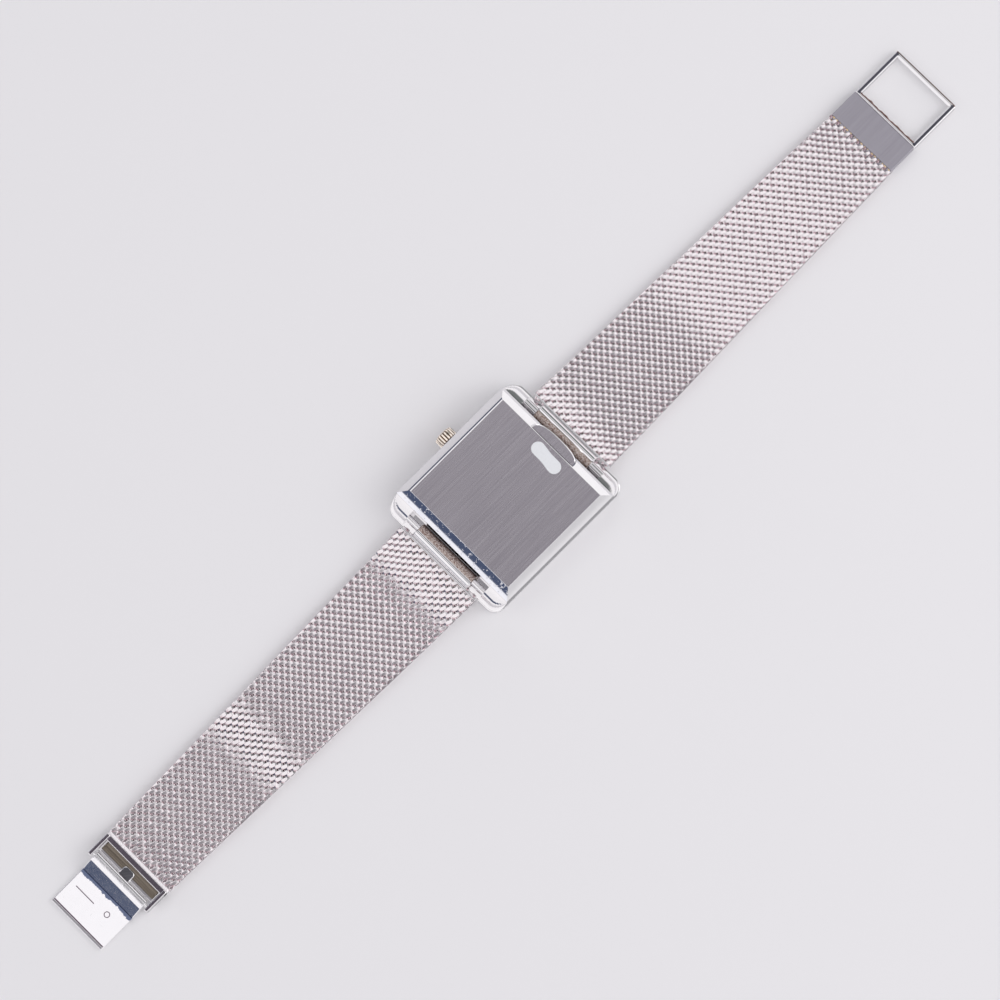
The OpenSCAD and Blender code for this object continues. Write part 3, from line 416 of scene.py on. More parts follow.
add_piece(case_bm, "case_body", "case", [polished_steel], ["case_front"], flats=30)

# Back: stamped and pressed on, with a brushed flat and wide mitred bevels polished to a mirror. A pry lip stands out
# of a seat in its bevel on the twelve o'clock side.

# Straight brushing: long lines along the first axis of the coordinates, with a few deeper ones among them.
brushing, g_in, g_out = node_group(
    "brushing", [("Vector", "NodeSocketVector", None), ("Coarse", "NodeSocketFloat", 0.5)],
    [("Lines", "NodeSocketFloat"), ("Deep", "NodeSocketFloat")])
fine = noise(brushing, stretched(brushing, g_in.outputs["Vector"], (150, 14000, 14000)), 1.0, 4.0, 0.7)
wide = noise(brushing, stretched(brushing, g_in.outputs["Vector"], (60, 2600, 2600)), 1.0, 3.0, 0.6)
lines = math_node(brushing, "ADD", math_node(brushing, "MULTIPLY", wide, g_in.outputs["Coarse"]),
                  math_node(brushing, "MULTIPLY", fine, math_node(brushing, "SUBTRACT", 1.0, g_in.outputs["Coarse"])))
few = noise(brushing, stretched(brushing, g_in.outputs["Vector"], (90, 5200, 5200), (0, 0, 2)), 1.0, 1.0)
deep = math_node(brushing, "GREATER_THAN", few, 0.735)
brushing.links.new(lines, g_out.inputs["Lines"])
brushing.links.new(deep, g_out.inputs["Deep"])


def brushed(name, colour, dark, turn=(0, 0, 0), rough=(0.24, 0.42), coarse=0.45, strength=0.25):
    material, tree, shader = new_material(name, colour, rough[0])
    place = object_place(tree)
    marks = add_group(tree, brushing, stretched(tree, place, (1, 1, 1), turn), Coarse=coarse)
    gloss(tree, shader, marks.outputs["Lines"], *rough)
    paint(tree, shader, span(tree, marks.outputs["Lines"], -0.6, 1.6), dark, colour)
    bump(tree, shader, math_node(tree, "SUBTRACT", marks.outputs["Lines"], marks.outputs["Deep"]), strength, 0.000004)
    return material


def slab(x0, x1, hy, z0, z1, width=0.1, segments=2, y=0.0):
    bm = bmesh.new()
    bmesh.ops.create_cube(bm, size=1)
    bmesh.ops.scale(bm, vec=(abs(x1 - x0) * mm, 2 * hy * mm, (z1 - z0) * mm), verts=bm.verts)
    bmesh.ops.translate(bm, vec=((x0 + x1) / 2 * mm, y * mm, (z0 + z1) / 2 * mm), verts=bm.verts)
    if width:
        bevel_edges(bm, bm.edges, width, segments)
    return bm


bevel_steel = polished("mirror steel", (0.88, 0.87, 0.885), (0.02, 0.09))
back_z, back_edge, bevel_x, bevel_y, lip_z, lip_hy, lip_x0, lip_x1 = 6.6, 0.74, 1.65, 1.4, 5.3, 4.6, 10.5, 12.42
crowning = [43, 41.6, 40.2, 38.8, 37.4, 36]
brushed_back = brushed("brushed back", (0.475, 0.45, 0.485), (0.33, 0.31, 0.345), rough=(0.22, 0.31), coarse=0.35)
back_bm = slab(-body_hx, body_hx, case_hy, joint_z, joint_z + back_edge, 0)
top = max(back_bm.faces, key=lambda f: f.calc_center_median().z)
rises = [math.tan(math.radians(a)) for a in crowning]
for i, rise in enumerate(rises):
    grown = bmesh.ops.extrude_face_region(back_bm, geom=[top])
    bmesh.ops.delete(back_bm, geom=[top], context="FACES")
    top = next(f for f in grown["geom"] if isinstance(f, bmesh.types.BMFace))
    share, next_share = i / len(crowning), (i + 1) / len(crowning)
    bmesh.ops.translate(back_bm, vec=(0, 0, (back_z - joint_z - back_edge) * rise / sum(rises) * mm), verts=top.verts)
    bmesh.ops.scale(back_bm, vec=((body_hx - bevel_x * next_share) / (body_hx - bevel_x * share),
                                  (case_hy - bevel_y * next_share) / (case_hy - bevel_y * share), 1), verts=top.verts)
bmesh.ops.recalc_face_normals(back_bm, faces=back_bm.faces)
flat_top = max(back_bm.faces, key=lambda f: f.calc_center_median().z)
crown_side = [e for e in flat_top.edges if min(v.co.y for v in e.verts) > 0]
bevel_edges(back_bm, crown_side, 0.24, 5)
bevel_edges(back_bm, sharp_edges(back_bm, 20, back_z - 0.01), 0.05)
# The bevel that faces −X: fine specks of wear, and bluish blotches that are a painted reflection tint of the blue-grey
# it mirrors.
worn_and_reflection_tinted_bevel, tree, shader = new_material("worn and reflection-tinted bevel", (0.88, 0.87, 0.885), 0.05)
place = object_place(tree)
specks = math_node(tree, "GREATER_THAN", noise(tree, place, 1500.0, 6.0, 0.72), 0.61)
painted_reflection = noise(tree, place, 330.0, 3.0)
paint(tree, shader, painted_reflection, (0.70, 0.72, 0.80), (0.93, 0.92, 0.93))
gloss(tree, shader, specks, 0.06, 0.5)
bump(tree, shader, specks, 0.3, 0.00002)
for face in back_bm.faces:
    face.material_index = 1 if face.normal.z > 0.999 and face.calc_center_median().z > (back_z - 0.01) * mm else 0
    if face.normal.x < -0.3 and 0.3 < face.normal.z < 0.95:
        face.material_index = 2


def half_oval(x0, x1, half, z0, z1, squareness=0.62):
    """A flat tongue, straight at x0, that bulges to x1 between rounded ends."""
    bm = bmesh.new()
    made = bmesh.ops.create_circle(bm, cap_ends=True, segments=72, radius=1)
    for v in made["verts"]:
        angle = math.atan2(v.co.y, v.co.x)
        cx, cy = math.cos(angle), math.sin(angle)
        px = math.copysign(abs(cx) ** squareness, cx)
        py = math.copysign(abs(cy) ** (squareness + 0.2), cy)
        v.co = Vector(((x0 + (x1 - x0) * (px if px > 0 else 0.04 * px)) * mm, py * half * mm, z0 * mm))
    raise_faces(bm, list(bm.faces), z1 - z0)
    bmesh.ops.recalc_face_normals(bm, faces=bm.faces)
    return bm


def carved(bm, cutter_bm):
    """Cuts one bmesh's shape out of another with a boolean that is applied at once."""
    block, cutter = [], []
    for source, kept in ((bm, block), (cutter_bm, cutter)):
        mesh = bpy.data.meshes.new("carving")
        source.to_mesh(mesh)
        source.free()
        kept.append(bpy.data.objects.new("carving", mesh))
        bpy.context.scene.collection.objects.link(kept[0])
    for _ in range(3):
        block[0].data.materials.append(bevel_steel)
    carve = block[0].modifiers.new("seat", "BOOLEAN")
    carve.operation = "DIFFERENCE"
    carve.object = cutter[0]
    carve.solver = "EXACT"
    bpy.context.view_layer.update()
    cut = bpy.data.meshes.new_from_object(block[0].evaluated_get(bpy.context.evaluated_depsgraph_get()))
    result = bmesh.new()
    result.from_mesh(cut)
    for item in (block[0], cutter[0]):
        bpy.data.objects.remove(item)
    bpy.data.meshes.remove(cut)
    bmesh.ops.remove_doubles(result, verts=result.verts, dist=1e-6)
    bmesh.ops.dissolve_degenerate(result, edges=result.edges, dist=1e-6)
    return result


back_bm = carved(back_bm, half_oval(lip_x0 + 0.03, lip_x1 + 0.2, lip_hy + 0.06, lip_z - 0.12, back_z + 1))
add_piece(back_bm, "back_plate", "case", [bevel_steel, brushed_back, worn_and_reflection_tinted_bevel], ["case_back"], 14)
lip_bm = half_oval(lip_x0 + 0.05, lip_x1, lip_hy, joint_z, lip_z - 0.09)
lip_top = max(lip_bm.faces, key=lambda f: f.calc_center_median().z)
bmesh.ops.inset_region(lip_bm, faces=[lip_top], thickness=0.17 * mm, depth=0.09 * mm, use_even_offset=True)
for face in lip_bm.faces:
    face.material_index = 1 if face.normal.z > 0.99 else 0
add_piece(lip_bm, "pry_lip", "case", [bevel_steel, brushed_back], angle=50)

# Blank label: a thin white film, shaped like two joined discs and stuck on the brushed back, with a narrow dark grey
# rim just beyond its edge that is a painted shadow line. It bears nothing.
label_material, tree, shader = new_material("label film", (0.72, 0.735, 0.76), 0.5, 0.0)
place = object_place(tree)
fibre = noise(tree, place, 2600.0, 4.0)
paint(tree, shader, fibre, (0.68, 0.695, 0.72), (0.76, 0.775, 0.80))
bump(tree, shader, fibre, 0.2, 0.00001)
# Painted shadow: the dark grey rim under the film's edge.
painted_shadow_rim, tree, shader = new_material("label adhesive", (0.30, 0.29, 0.31), 0.5, 0.0)
place = object_place(tree)
paint(tree, shader, noise(tree, place, 1800.0, 3.0), (0.22, 0.21, 0.23), (0.36, 0.35, 0.37))
label_r, label_waist, label_top, label_end = 1.13, 0.10, Vector((8.75, 1.25)), Vector((8.42, -2.6))
along = (label_top - label_end).normalized()
half_run = (label_top - label_end).length / 2
label_bm = bmesh.new()
for layer, (grow, thick) in enumerate(((0.0, 0.025), (0.07, 0.012))):
    before = list(label_bm.verts)
    made = bmesh.ops.create_circle(label_bm, cap_ends=True, segments=96, radius=1)
    for i, v in enumerate(made["verts"]):
        angle = math.atan2(v.co.y, v.co.x)
        run = half_run * max(-1.0, min(1.0, 1.6 * math.sin(angle)))
        if abs(math.sin(angle)) < 0.625:
            width = math.copysign(label_r - label_waist * math.cos(math.pi * run / 2 / half_run) ** 2, math.cos(angle))
            reach = run
        else:
            turn = (abs(math.sin(angle)) - 0.625) / 0.375
            width = math.copysign(label_r * math.sqrt(max(0.0, 1 - turn ** 2)), math.cos(angle))
            reach = run + math.copysign(label_r * turn, run)
        longer = math.copysign(grow, reach) * abs(reach) / (half_run + label_r)
        out = Vector((along.y, -along.x)) * width * (1 + grow / label_r) + along * (reach + longer)
        centre = (label_top + label_end) / 2 + out
        v.co = Vector((centre.x * mm, centre.y * mm, (back_z - 0.02) * mm))
    faces = list({f for v in made["verts"] for f in v.link_faces})
    raise_faces(label_bm, faces, (0.02 + thick))
    new = [f for f in label_bm.faces if not any(v in before for v in f.verts)]
    for face in new:
        face.material_index = layer
bmesh.ops.recalc_face_normals(label_bm, faces=label_bm.faces)
add_piece(label_bm, "blank_label", "case", [label_material, painted_shadow_rim], angle=50)


# Crown: turned and fluted, with a domed end and a warm pale plating, painted dark brown in the grooves between the
# flutes. It sits on the outer end of the stem.
def lathe(bm, profile, origin, axis, steps=48):
    """Turns (along, radius) points about an axis through origin, in millimetres."""
    axis = Vector(axis)
    out = Vector((0, 0, 1))
    verts = [bm.verts.new((Vector(origin) + axis * along + out * radius) * mm) for along, radius in profile]
    edges = [bm.edges.new(pair) for pair in zip(verts, verts[1:])]
    bmesh.ops.spin(bm, geom=verts + edges, cent=Vector(origin) * mm, axis=axis, angle=math.tau, steps=steps,
                   use_merge=True)
    bmesh.ops.remove_doubles(bm, verts=bm.verts, dist=1e-7)
    bmesh.ops.recalc_face_normals(bm, faces=bm.faces)


crown_metal, tree, shader = new_material("crown plating", (0.86, 0.78, 0.68), 0.12)
marks = add_group(tree, handling)
place = object_place(tree)
flute_depth = tree.nodes.new("ShaderNodeAttribute")
flute_depth.attribute_name = "groove"
paint(tree, shader, flute_depth.outputs["Fac"], (0.88, 0.80, 0.71), (0.16, 0.09, 0.06))
gloss(tree, shader, marks.outputs["Smear"], 0.08, 0.3)
bump(tree, shader, marks.outputs["Scratch"], 0.1, 0.00001)
crown_r, crown_y0, crown_len, stem_z, flutes, flute_d = 1.7, 12.5, 1.8, 3.2, 20, 0.14
crown_bm = bmesh.new()
profile = [(0.0, 0.0), (0.0, crown_r - 0.24), (0.08, crown_r - 0.06), (0.2, crown_r), (0.8, crown_r), (1.35, crown_r),
           (1.5, crown_r - 0.06), (1.6, crown_r - 0.22), (1.72, crown_r - 0.6), (crown_len, crown_r - 1.2),
           (crown_len, 0.0)]
lathe(crown_bm, profile, (0, crown_y0, stem_z), (0, 1, 0), flutes * 6)
groove = crown_bm.verts.layers.float.new("groove")
for v in crown_bm.verts:
    out = Vector((v.co.x, 0, v.co.z - stem_z * mm))
    if out.length > (crown_r - 0.3) * mm:
        turn = math.atan2(out.z, out.x) / math.tau * flutes % 1.0
        if turn < 0.30 or turn > 0.97:
            v.co -= out.normalized() * flute_d * mm
            v[groove] = 1.0
add_piece(crown_bm, "crown_cap", "crown", [crown_metal], ["crown"], 40)


# Spring bars: turned steel pins with a shoulder and a thinner tip at each end, held in the hoods. The rolled ends
# of the strap turn on them.
bar_x, bar_z = 13.3, 2.3
for sx, side_name in ((1, "12"), (-1, "6")):
    bar_bm = bmesh.new()
    half = [(10.6, 0.0), (10.6, 0.30), (10.52, 0.38), (9.72, 0.38), (9.70, 0.56), (9.64, 0.62), (9.3, 0.62),
            (9.28, 0.56), (9.2, 0.56), (9.18, 0.62)]
    profile = half + [(-y, r) for y, r in reversed(half)]
    lathe(bar_bm, profile, (sx * bar_x, 0, bar_z), (0, 1, 0), 32)
    bar_name = "spring_bar_" + side_name
    add_piece(bar_bm, bar_name + "_pin", "case", [polished_steel], [bar_name])


# Woven strap: flattened steel coils that run across the strap and hook into each other, ground flat and polished on
# both faces. Each half tapers to the clasp, slopes down from its spring bar and lies on the ground.
mesh_x0, mesh_x1, mesh_w0, mesh_w1, mesh_t, fold_z = 15.0, 81.6, 16.8, 13.5, 1.3, 1.02
coil_step, coil_pitch, coil_lean, pitch, clear = 0.655, 1.5, 0.07, 11.1, 0.075
# The weave is painted maroon where the wires sink between each other, and along one side of each wire's flat top:
# painted shade.
woven_steel, tree, shader = new_material("woven steel", (0.78, 0.75, 0.77), 0.12)
marks = add_group(tree, handling)
painted_shade = tree.nodes.new("ShaderNodeAttribute")
painted_shade.attribute_name = "painted_shade"
tint = mixed(tree, marks.outputs["Smear"], (0.785, 0.745, 0.765), (0.855, 0.82, 0.835))
paint(tree, shader, painted_shade.outputs["Fac"], tint, (0.36, 0.20, 0.235))
gloss(tree, shader, marks.outputs["Smear"], 0.08, 0.19)
bump(tree, shader, marks.outputs["Scratch"], 0.06, 0.00001)


def section(width, height):
    return [(-height, 0.62 * width), (0.0, width), (height * 0.94, 0.85 * width), (height, 0.64 * width),
            (height, -0.64 * width), (height * 0.94, -0.85 * width), (0.0, -width), (-height, -0.62 * width)]


path = [(0.66, 0.0, 0.0, 0.29), (0.65, 0.20, 0.07, 0.30), (0.60, 0.36, 0.13, 0.32), (0.47, 0.435, 0.21, 0.33),
        (0.0, 0.44, 0.375, 0.345), (-0.47, 0.435, 0.54, 0.33), (-0.60, 0.36, 0.62, 0.32), (-0.65, 0.20, 0.68, 0.30)]
path += [(-x, -z, y + 0.75, w) for x, z, y, w in path]
turns = 13
turn_bm = bmesh.new()
points = [Vector((x, y + t * coil_pitch - turns * coil_pitch / 2, z)) for t in (0, 1) for x, z, y, w in path]
widths = [w for x, z, y, w in path] * 2
ring = None
for i in range(len(path) + 1):
    before = points[i - 1] if i else points[len(path) - 1] - Vector((0, coil_pitch, 0))
    along = (points[i + 1] - before).normalized()
    outward = Vector((points[i].x * 0.35, 0, points[i].z)).normalized()
    outward = (outward - along * outward.dot(along)).normalized()
    sideways = along.cross(outward)
    spots = [points[i] + outward * a + sideways * b for a, b in section(widths[i], 0.21)]
    if ring is None:
        ring = [turn_bm.verts.new(p * mm) for p in spots]
        edges = [turn_bm.edges.new((ring[j], ring[(j + 1) % 8])) for j in range(8)]
    else:
        moved = bmesh.ops.extrude_edge_only(turn_bm, edges=edges)
        fresh = new_verts(moved)
        edges = [e for e in moved["geom"] if isinstance(e, bmesh.types.BMEdge) and all(v in fresh for v in e.verts)]
        pairs = {}
        for v in fresh:
            old = [e.other_vert(v) for e in v.link_edges if e.other_vert(v) in ring]
            pairs[ring.index(old[0])] = v
        ring = [pairs[j] for j in range(8)]
        for v, p in zip(ring, spots):
            v.co = p * mm
bmesh.ops.recalc_face_normals(turn_bm, faces=turn_bm.faces)
turn_mesh = bpy.data.meshes.new("turn")
turn_bm.to_mesh(turn_mesh)
turn_bm.free()
coil_bm = bmesh.new()
for t in range(turns):
    before = len(coil_bm.verts)
    coil_bm.from_mesh(turn_mesh)
    coil_bm.verts.ensure_lookup_table()
    bmesh.ops.translate(coil_bm, vec=(0, t * coil_pitch * mm, 0), verts=coil_bm.verts[before:])
bmesh.ops.remove_doubles(coil_bm, verts=coil_bm.verts, dist=1e-6)
coil_mesh = bpy.data.meshes.new("coil")
coil_bm.to_mesh(coil_mesh)
coil_bm.free()
# Painted shade: marks one side of each wire's flat top for a maroon line. The half that is turned round gets the
# opposite side, so both lines fall on the same side.
shaded_side = {1: [], -1: []}
for v in coil_mesh.vertices:
    run, reach, rise = v.co.x / mm, (v.co.y / mm + turns * coil_pitch / 2 + 0.3) % coil_pitch - 0.3, v.co.z / mm
    aside = reach - (0.375 - 0.35 * run)
    for sx in (1, -1):
        shaded_side[sx].append(0.8 if rise > 0.25 and -sx * aside > 0.235 else 0.0)


falls = [(15, 5.27), (26.0, 5.27), (26.15, 0)]
tilts = {"12": [(15, 5.0), (16.5, 4.6), (20.5, -1.0), (34, -1.0), (38, -0.4), (44, 2.5), (50, 2.3), (66, 1.8),
                (73, 0.5), (80, -0.5)],
         "6": [(15, 5.5), (16.5, 7.8), (20, 7.6), (25.5, -1.2), (30, -1.7), (44, -1.3), (50, -0.2), (54.5, 5.4),
               (57, 5.4), (62, 0)]}


def strap_height(x):
    """Height of the strap's underside, from the degrees by which it falls at each distance from the case centre."""
    height = 0.0
    for (x0, s0), (x1, s1) in zip(falls, falls[1:]):
        if x < x1:
            at = max(x, x0)
            height += (x1 - at) * (s0 + (s1 - s0) * (at - x0) / (x1 - x0) + s1) / 2
    return math.radians(height)


def coil_tilt(side_name, x):
    """How far a coil leans outwards. It puts bands of light where a slightly bowed strap would show them."""
    rows = tilts[side_name]
    for (x0, s0), (x1, s1) in zip(rows, rows[1:]):
        if x < x1:
            return math.radians(s0 + (s1 - s0) * (max(x, x0) - x0) / (x1 - x0))
    return math.radians(rows[-1][1])


def strap_piece(side_name, sx, u0, u1, first, last):
    bm = bmesh.new()
    shades, centres = [], []
    count = int((mesh_x1 - mesh_x0) / coil_step)
    for n in range(-1, count + 2):
        u = mesh_x0 + 0.45 + n * coil_step
        if not (u0 <= u < u1 or (first and u < u0) or (last and u >= u1)):
            continue
        if u > mesh_x1 - 0.35 or u < mesh_x0 + 0.2:
            continue
        before = len(bm.verts)
        bm.from_mesh(coil_mesh)
        bm.verts.ensure_lookup_table()
        new = bm.verts[before:]
        bmesh.ops.translate(bm, vec=(u * mm, (n % 2) * coil_pitch / 2 * mm, 0), verts=new)
        shades += shaded_side[sx]
        centres += [u] * len(new)
    painted_shade_layer = bm.verts.layers.float.new("painted_shade")
    for v, shade, centre in zip(bm.verts, shades, centres):
        u, y, h = v.co.x / mm, v.co.y / mm, v.co.z / mm
        calm = min(1.0, max(0.0, min(u - mesh_x0 - 0.8, mesh_x1 - 0.8 - u) / 6.0))
        middle_x = centre + coil_lean * y * calm * calm * (3 - 2 * calm)
        tilt = coil_tilt(side_name, middle_x)
        out = u - centre
        # Painted shade: maroon in the depths between the wires and on the marked side of each top.
        v[painted_shade_layer] = max(shade, min(1.0, max(0.0, (0.42 - abs(h)) / 0.5)))
        uneven = 0.004 * math.sin(7.3 * u + 2.1 * y + 1.7 * math.sin(1.3 * y))
        rise = strap_height(middle_x) + mesh_t / 2 + clear + h - tilt * out + uneven
        v.co = Vector(((middle_x + out + tilt * h) * mm, y * mm, rise * mm))
    taper = (mesh_w0 - mesh_w1) / 2 / (mesh_x1 - mesh_x0)
    for sy in (1, -1):
        cut = bmesh.ops.bisect_plane(bm, geom=list(bm.verts) + list(bm.edges) + list(bm.faces), dist=1e-8,
                                     plane_co=(mesh_x0 * mm, sy * mesh_w0 / 2 * mm, 0), plane_no=(taper, sy, 0),
                                     clear_outer=True)
        rim = [e for e in cut["geom_cut"] if isinstance(e, bmesh.types.BMEdge) and e.is_valid]
        bmesh.ops.holes_fill(bm, edges=rim, sides=24)
    if sx < 0:
        bmesh.ops.rotate(bm, cent=(0, 0, 0), matrix=Matrix.Rotation(math.pi, 3, "Z"), verts=bm.verts)
    return bm


middle = mesh_x0 + pitch / 2
for sx, side_name in ((1, "12"), (-1, "6")):
    stem_name = "mesh_" + side_name + "_"
    body = "strap_" + side_name + "_"
    piece = strap_piece(side_name, sx, mesh_x0, middle, True, False)
    add_piece(piece, stem_name + "root", body + "1", [woven_steel], [stem_name + "1"], 38, 5, 0.15)
    for k in range(1, 6):
        u0, u1 = middle + (k - 1) * pitch, middle + k * pitch
        piece = strap_piece(side_name, sx, u0, u1, False, False)
        piece = add_piece(piece, stem_name + "bend_" + str(k), None, [woven_steel],
                          [stem_name + str(k + 1)], 38, 5, 0.15)
        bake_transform(piece)
    piece = strap_piece(side_name, sx, middle + 5 * pitch, mesh_x1, False, True)
    add_piece(piece, stem_name + "end", body + "6", [woven_steel], [stem_name + "6"], 38, 5, 0.15)

# Strap ends at the case: the weave is rolled round the spring bar as a narrower tongue, and a polished bead and an
# edge trim are soldered over the roll.
roll_r, tongue_hy, bead_r = 1.15, 6.1, 0.8
roll_metal, tree, shader = new_material("rolled weave", (0.62, 0.54, 0.50), 0.3)
place = object_place(tree)
knots = tree.nodes.new("ShaderNodeTexVoronoi")
knots.inputs["Scale"].default_value = 1.0
tree.links.new(stretched(tree, place, (5200, 4300, 5200)), knots.inputs["Vector"])
soil = noise(tree, place, 700.0, 4.0)
steel = mixed(tree, soil, (0.56, 0.48, 0.43), (0.80, 0.75, 0.72))
# Painted shade: the weave turns dark in the crevices between its knots.
tree.links.new(mixed(tree, span(tree, knots.outputs["Distance"], -0.1, 1.2), steel, (0.17, 0.10, 0.085)),
               shader.inputs["Base Color"])
bump(tree, shader, knots.outputs["Distance"], 0.7, -0.00006)
for sx, side_name in ((1, "12"), (-1, "6")):
    roll_bm = bmesh.new()
    lathe(roll_bm, [(-tongue_hy + 0.1, 0.66), (-tongue_hy + 0.1, roll_r - 0.1), (-tongue_hy + 0.2, roll_r - 0.02),
                    (tongue_hy - 0.2, roll_r - 0.02), (tongue_hy - 0.1, roll_r - 0.1), (tongue_hy - 0.1, 0.66)],
          (sx * bar_x, 0, bar_z), (0, 1, 0), 40)
    join(roll_bm, slab(sx * 13.325, sx * 15.375, tongue_hy - 0.1, fold_z + 0.02, fold_z + 1.22, 0))
    add_piece(roll_bm, "rolled_end_" + side_name, "strap_" + side_name + "_1", [roll_metal])
    link_bm = bmesh.new()
    lathe(link_bm, [(-tongue_hy, 0.0), (-tongue_hy, bead_r - 0.22), (-tongue_hy + 0.22, bead_r),
                    (tongue_hy - 0.22, bead_r), (tongue_hy, bead_r - 0.22), (tongue_hy, 0.0)],
          (sx * 14.0, 0, 2.7), (0, 1, 0), 40)
    for x0, x1, hy in ((mesh_x0, mesh_x0 + 0.3, mesh_w0 / 2), (14.3, mesh_x0 + 0.05, tongue_hy)):
        join(link_bm, slab(sx * x0, sx * x1, hy, fold_z + mesh_t, fold_z + mesh_t + 0.18, 0.08, 4))
    add_piece(link_bm, "bead_" + side_name, "strap_" + side_name + "_1", [bevel_steel],
              ["end_link_" + side_name])


# Frame end: a brushed plate soldered over the weave's end, and an open frame of thin polished bars beyond it that the
# folding hook passes through.
def patch(x, y, hx, hy, z=0.0, rows=1):
    """A flat rectangle about (x, y), in rows of quads."""
    bm = bmesh.new()
    bmesh.ops.create_grid(bm, x_segments=1, y_segments=rows, size=1)
    bmesh.ops.scale(bm, vec=(hx * mm, hy * mm, 1), verts=bm.verts)
    bmesh.ops.translate(bm, vec=(x * mm, y * mm, z * mm), verts=bm.verts)
    return bm


clasp_hy, plate_x1, plate_h = 6.65, 87.0, 1.7
brushed_plate = brushed("brushed plate", (0.40, 0.385, 0.43), (0.30, 0.285, 0.325), rough=(0.30, 0.42), coarse=0.35)
painted_reflection_bar = brushed("painted reflection bar", (0.10, 0.10, 0.125), (0.06, 0.06, 0.075), rough=(0.10, 0.20), coarse=0.3)
solder, tree, shader = new_material("gold solder", (0.83, 0.62, 0.34), 0.3)
marks = add_group(tree, handling)
paint(tree, shader, marks.outputs["Smear"], (0.60, 0.40, 0.20), (0.92, 0.76, 0.50))
gloss(tree, shader, marks.outputs["Smear"], 0.2, 0.45)
plate_bm = slab(mesh_x1, plate_x1, clasp_hy, 0, plate_h, 0.16, 3)
add_piece(plate_bm, "end_plate", "strap_12_6", [brushed_plate], ["loop_plate"], 25)
frame_bm = frame_ring((4.9, clasp_hy, 0.35), (4.25, 5.8, 0.12), 0, 1.3, 0.2, 4)
bmesh.ops.translate(frame_bm, vec=((plate_x1 + 4.9) * mm, 0, 0), verts=frame_bm.verts)
# The side bars' flat tops are painted near black, a painted dark reflection.
for face in frame_bm.faces:
    centre = face.calc_center_median()
    level = face.normal.z > 0.99 and abs(centre.y) > 5.5 * mm
    outer_bevel = centre.x > 96.4 * mm and 0.8 < face.normal.z < 0.98 and face.normal.x > 0.2
    face.material_index = 1 if level else 2 if outer_bevel else 0
# The seam's dark maroon also marks the far bar's outer bevel, where it is a painted shade line.
seam_and_edge_shade, tree, shader = new_material("darkened seam", (0.17, 0.10, 0.10), 0.35)
place = object_place(tree)
paint(tree, shader, noise(tree, place, 1300.0, 4.0), (0.09, 0.045, 0.05), (0.30, 0.19, 0.16))
add_piece(frame_bm, "open_frame", "strap_12_6", [polished_steel, painted_reflection_bar, seam_and_edge_shade], ["loop_frame"], 32)
seam_bm = patch(0, 0, 0.09, 5.9, 0, 48)
for v in seam_bm.verts:
    y = v.co.y / mm
    v.co.x += (plate_x1 + 0.58 + 0.06 * math.sin(2.1 * y) + 0.05 * math.sin(5.3 * y + 1)) * mm
    v.co.z = (1.22 + 0.05 * math.sin(3.7 * y)) * mm
raise_faces(seam_bm, list(seam_bm.faces), 0.14)
bmesh.ops.recalc_face_normals(seam_bm, faces=seam_bm.faces)
add_piece(seam_bm, "frame_seam", "strap_12_6", [seam_and_edge_shade], angle=60)
beads_bm = bmesh.new()
for i in range(17):
    y = -6.2 + 12.4 * i / 16 + 0.12 * math.sin(i * 2.3)
    size = 0.14 + 0.05 * math.sin(i * 1.7)
    made = bmesh.ops.create_icosphere(beads_bm, subdivisions=2, radius=size * mm)
    bmesh.ops.scale(beads_bm, vec=(1.2, 1.5, 0.7), verts=made["verts"])
    bmesh.ops.translate(beads_bm, vec=((mesh_x1 + 0.02) * mm, y * mm, (1.34 + 0.04 * math.cos(i)) * mm),
                        verts=made["verts"])
add_piece(beads_bm, "solder_beads", "strap_12_6", [solder], angle=60)

# Clasp box: a folded steel tray with raised side arms and a rim soldered over the weave. A spring leaf with a
# rounded catch lies in it; the leaf's dark brown is a painted warm reflection, and the catch's flat top is painted
# dark.
box_x1, box_h, arm_t, floor_t, rim_h = 86.6, 2.5, 0.65, 0.5, 1.75
box_bm = slab(-mesh_x1, -mesh_x1 - 3.4, clasp_hy, 0, floor_t, 0.05)
join(box_bm, slab(-mesh_x1, -mesh_x1 - 0.75, clasp_hy, 0, 1.5, 0.3, 4))
join(box_bm, slab(-mesh_x1 - 0.55, -mesh_x1 - 1.5, clasp_hy, 0, rim_h, 0.13, 3))
for sy in (1, -1):
    join(box_bm, slab(-mesh_x1 - 0.6, -box_x1, arm_t / 2, 0, box_h, 0.13, 3, sy * (clasp_hy - arm_t / 2)))
    join(box_bm, slab(-mesh_x1 - 1.4, -mesh_x1 - 3.4, 0.14, floor_t, 1.5, 0.08, 3, sy * 5.84))
shaded_steel = brushed("shaded steel", (0.27, 0.235, 0.28), (0.17, 0.145, 0.18), rough=(0.10, 0.20), coarse=0.3)
frosted = polished("frosted flange", (0.95, 0.92, 0.94), (0.5, 0.62))
for face in box_bm.faces:
    centre = face.calc_center_median()
    face.material_index = 1 if face.normal.z > 0.99 and centre.z > (rim_h - 0.05) * mm else 0
    if face.normal.z > 0.3 and centre.x > -82.16 * mm and 1.2 * mm < centre.z < 1.52 * mm:
        face.material_index = 2
add_piece(box_bm, "clasp_tray", "strap_6_6", [polished_steel, shaded_steel, frosted],
          ["clasp_box"], 32)
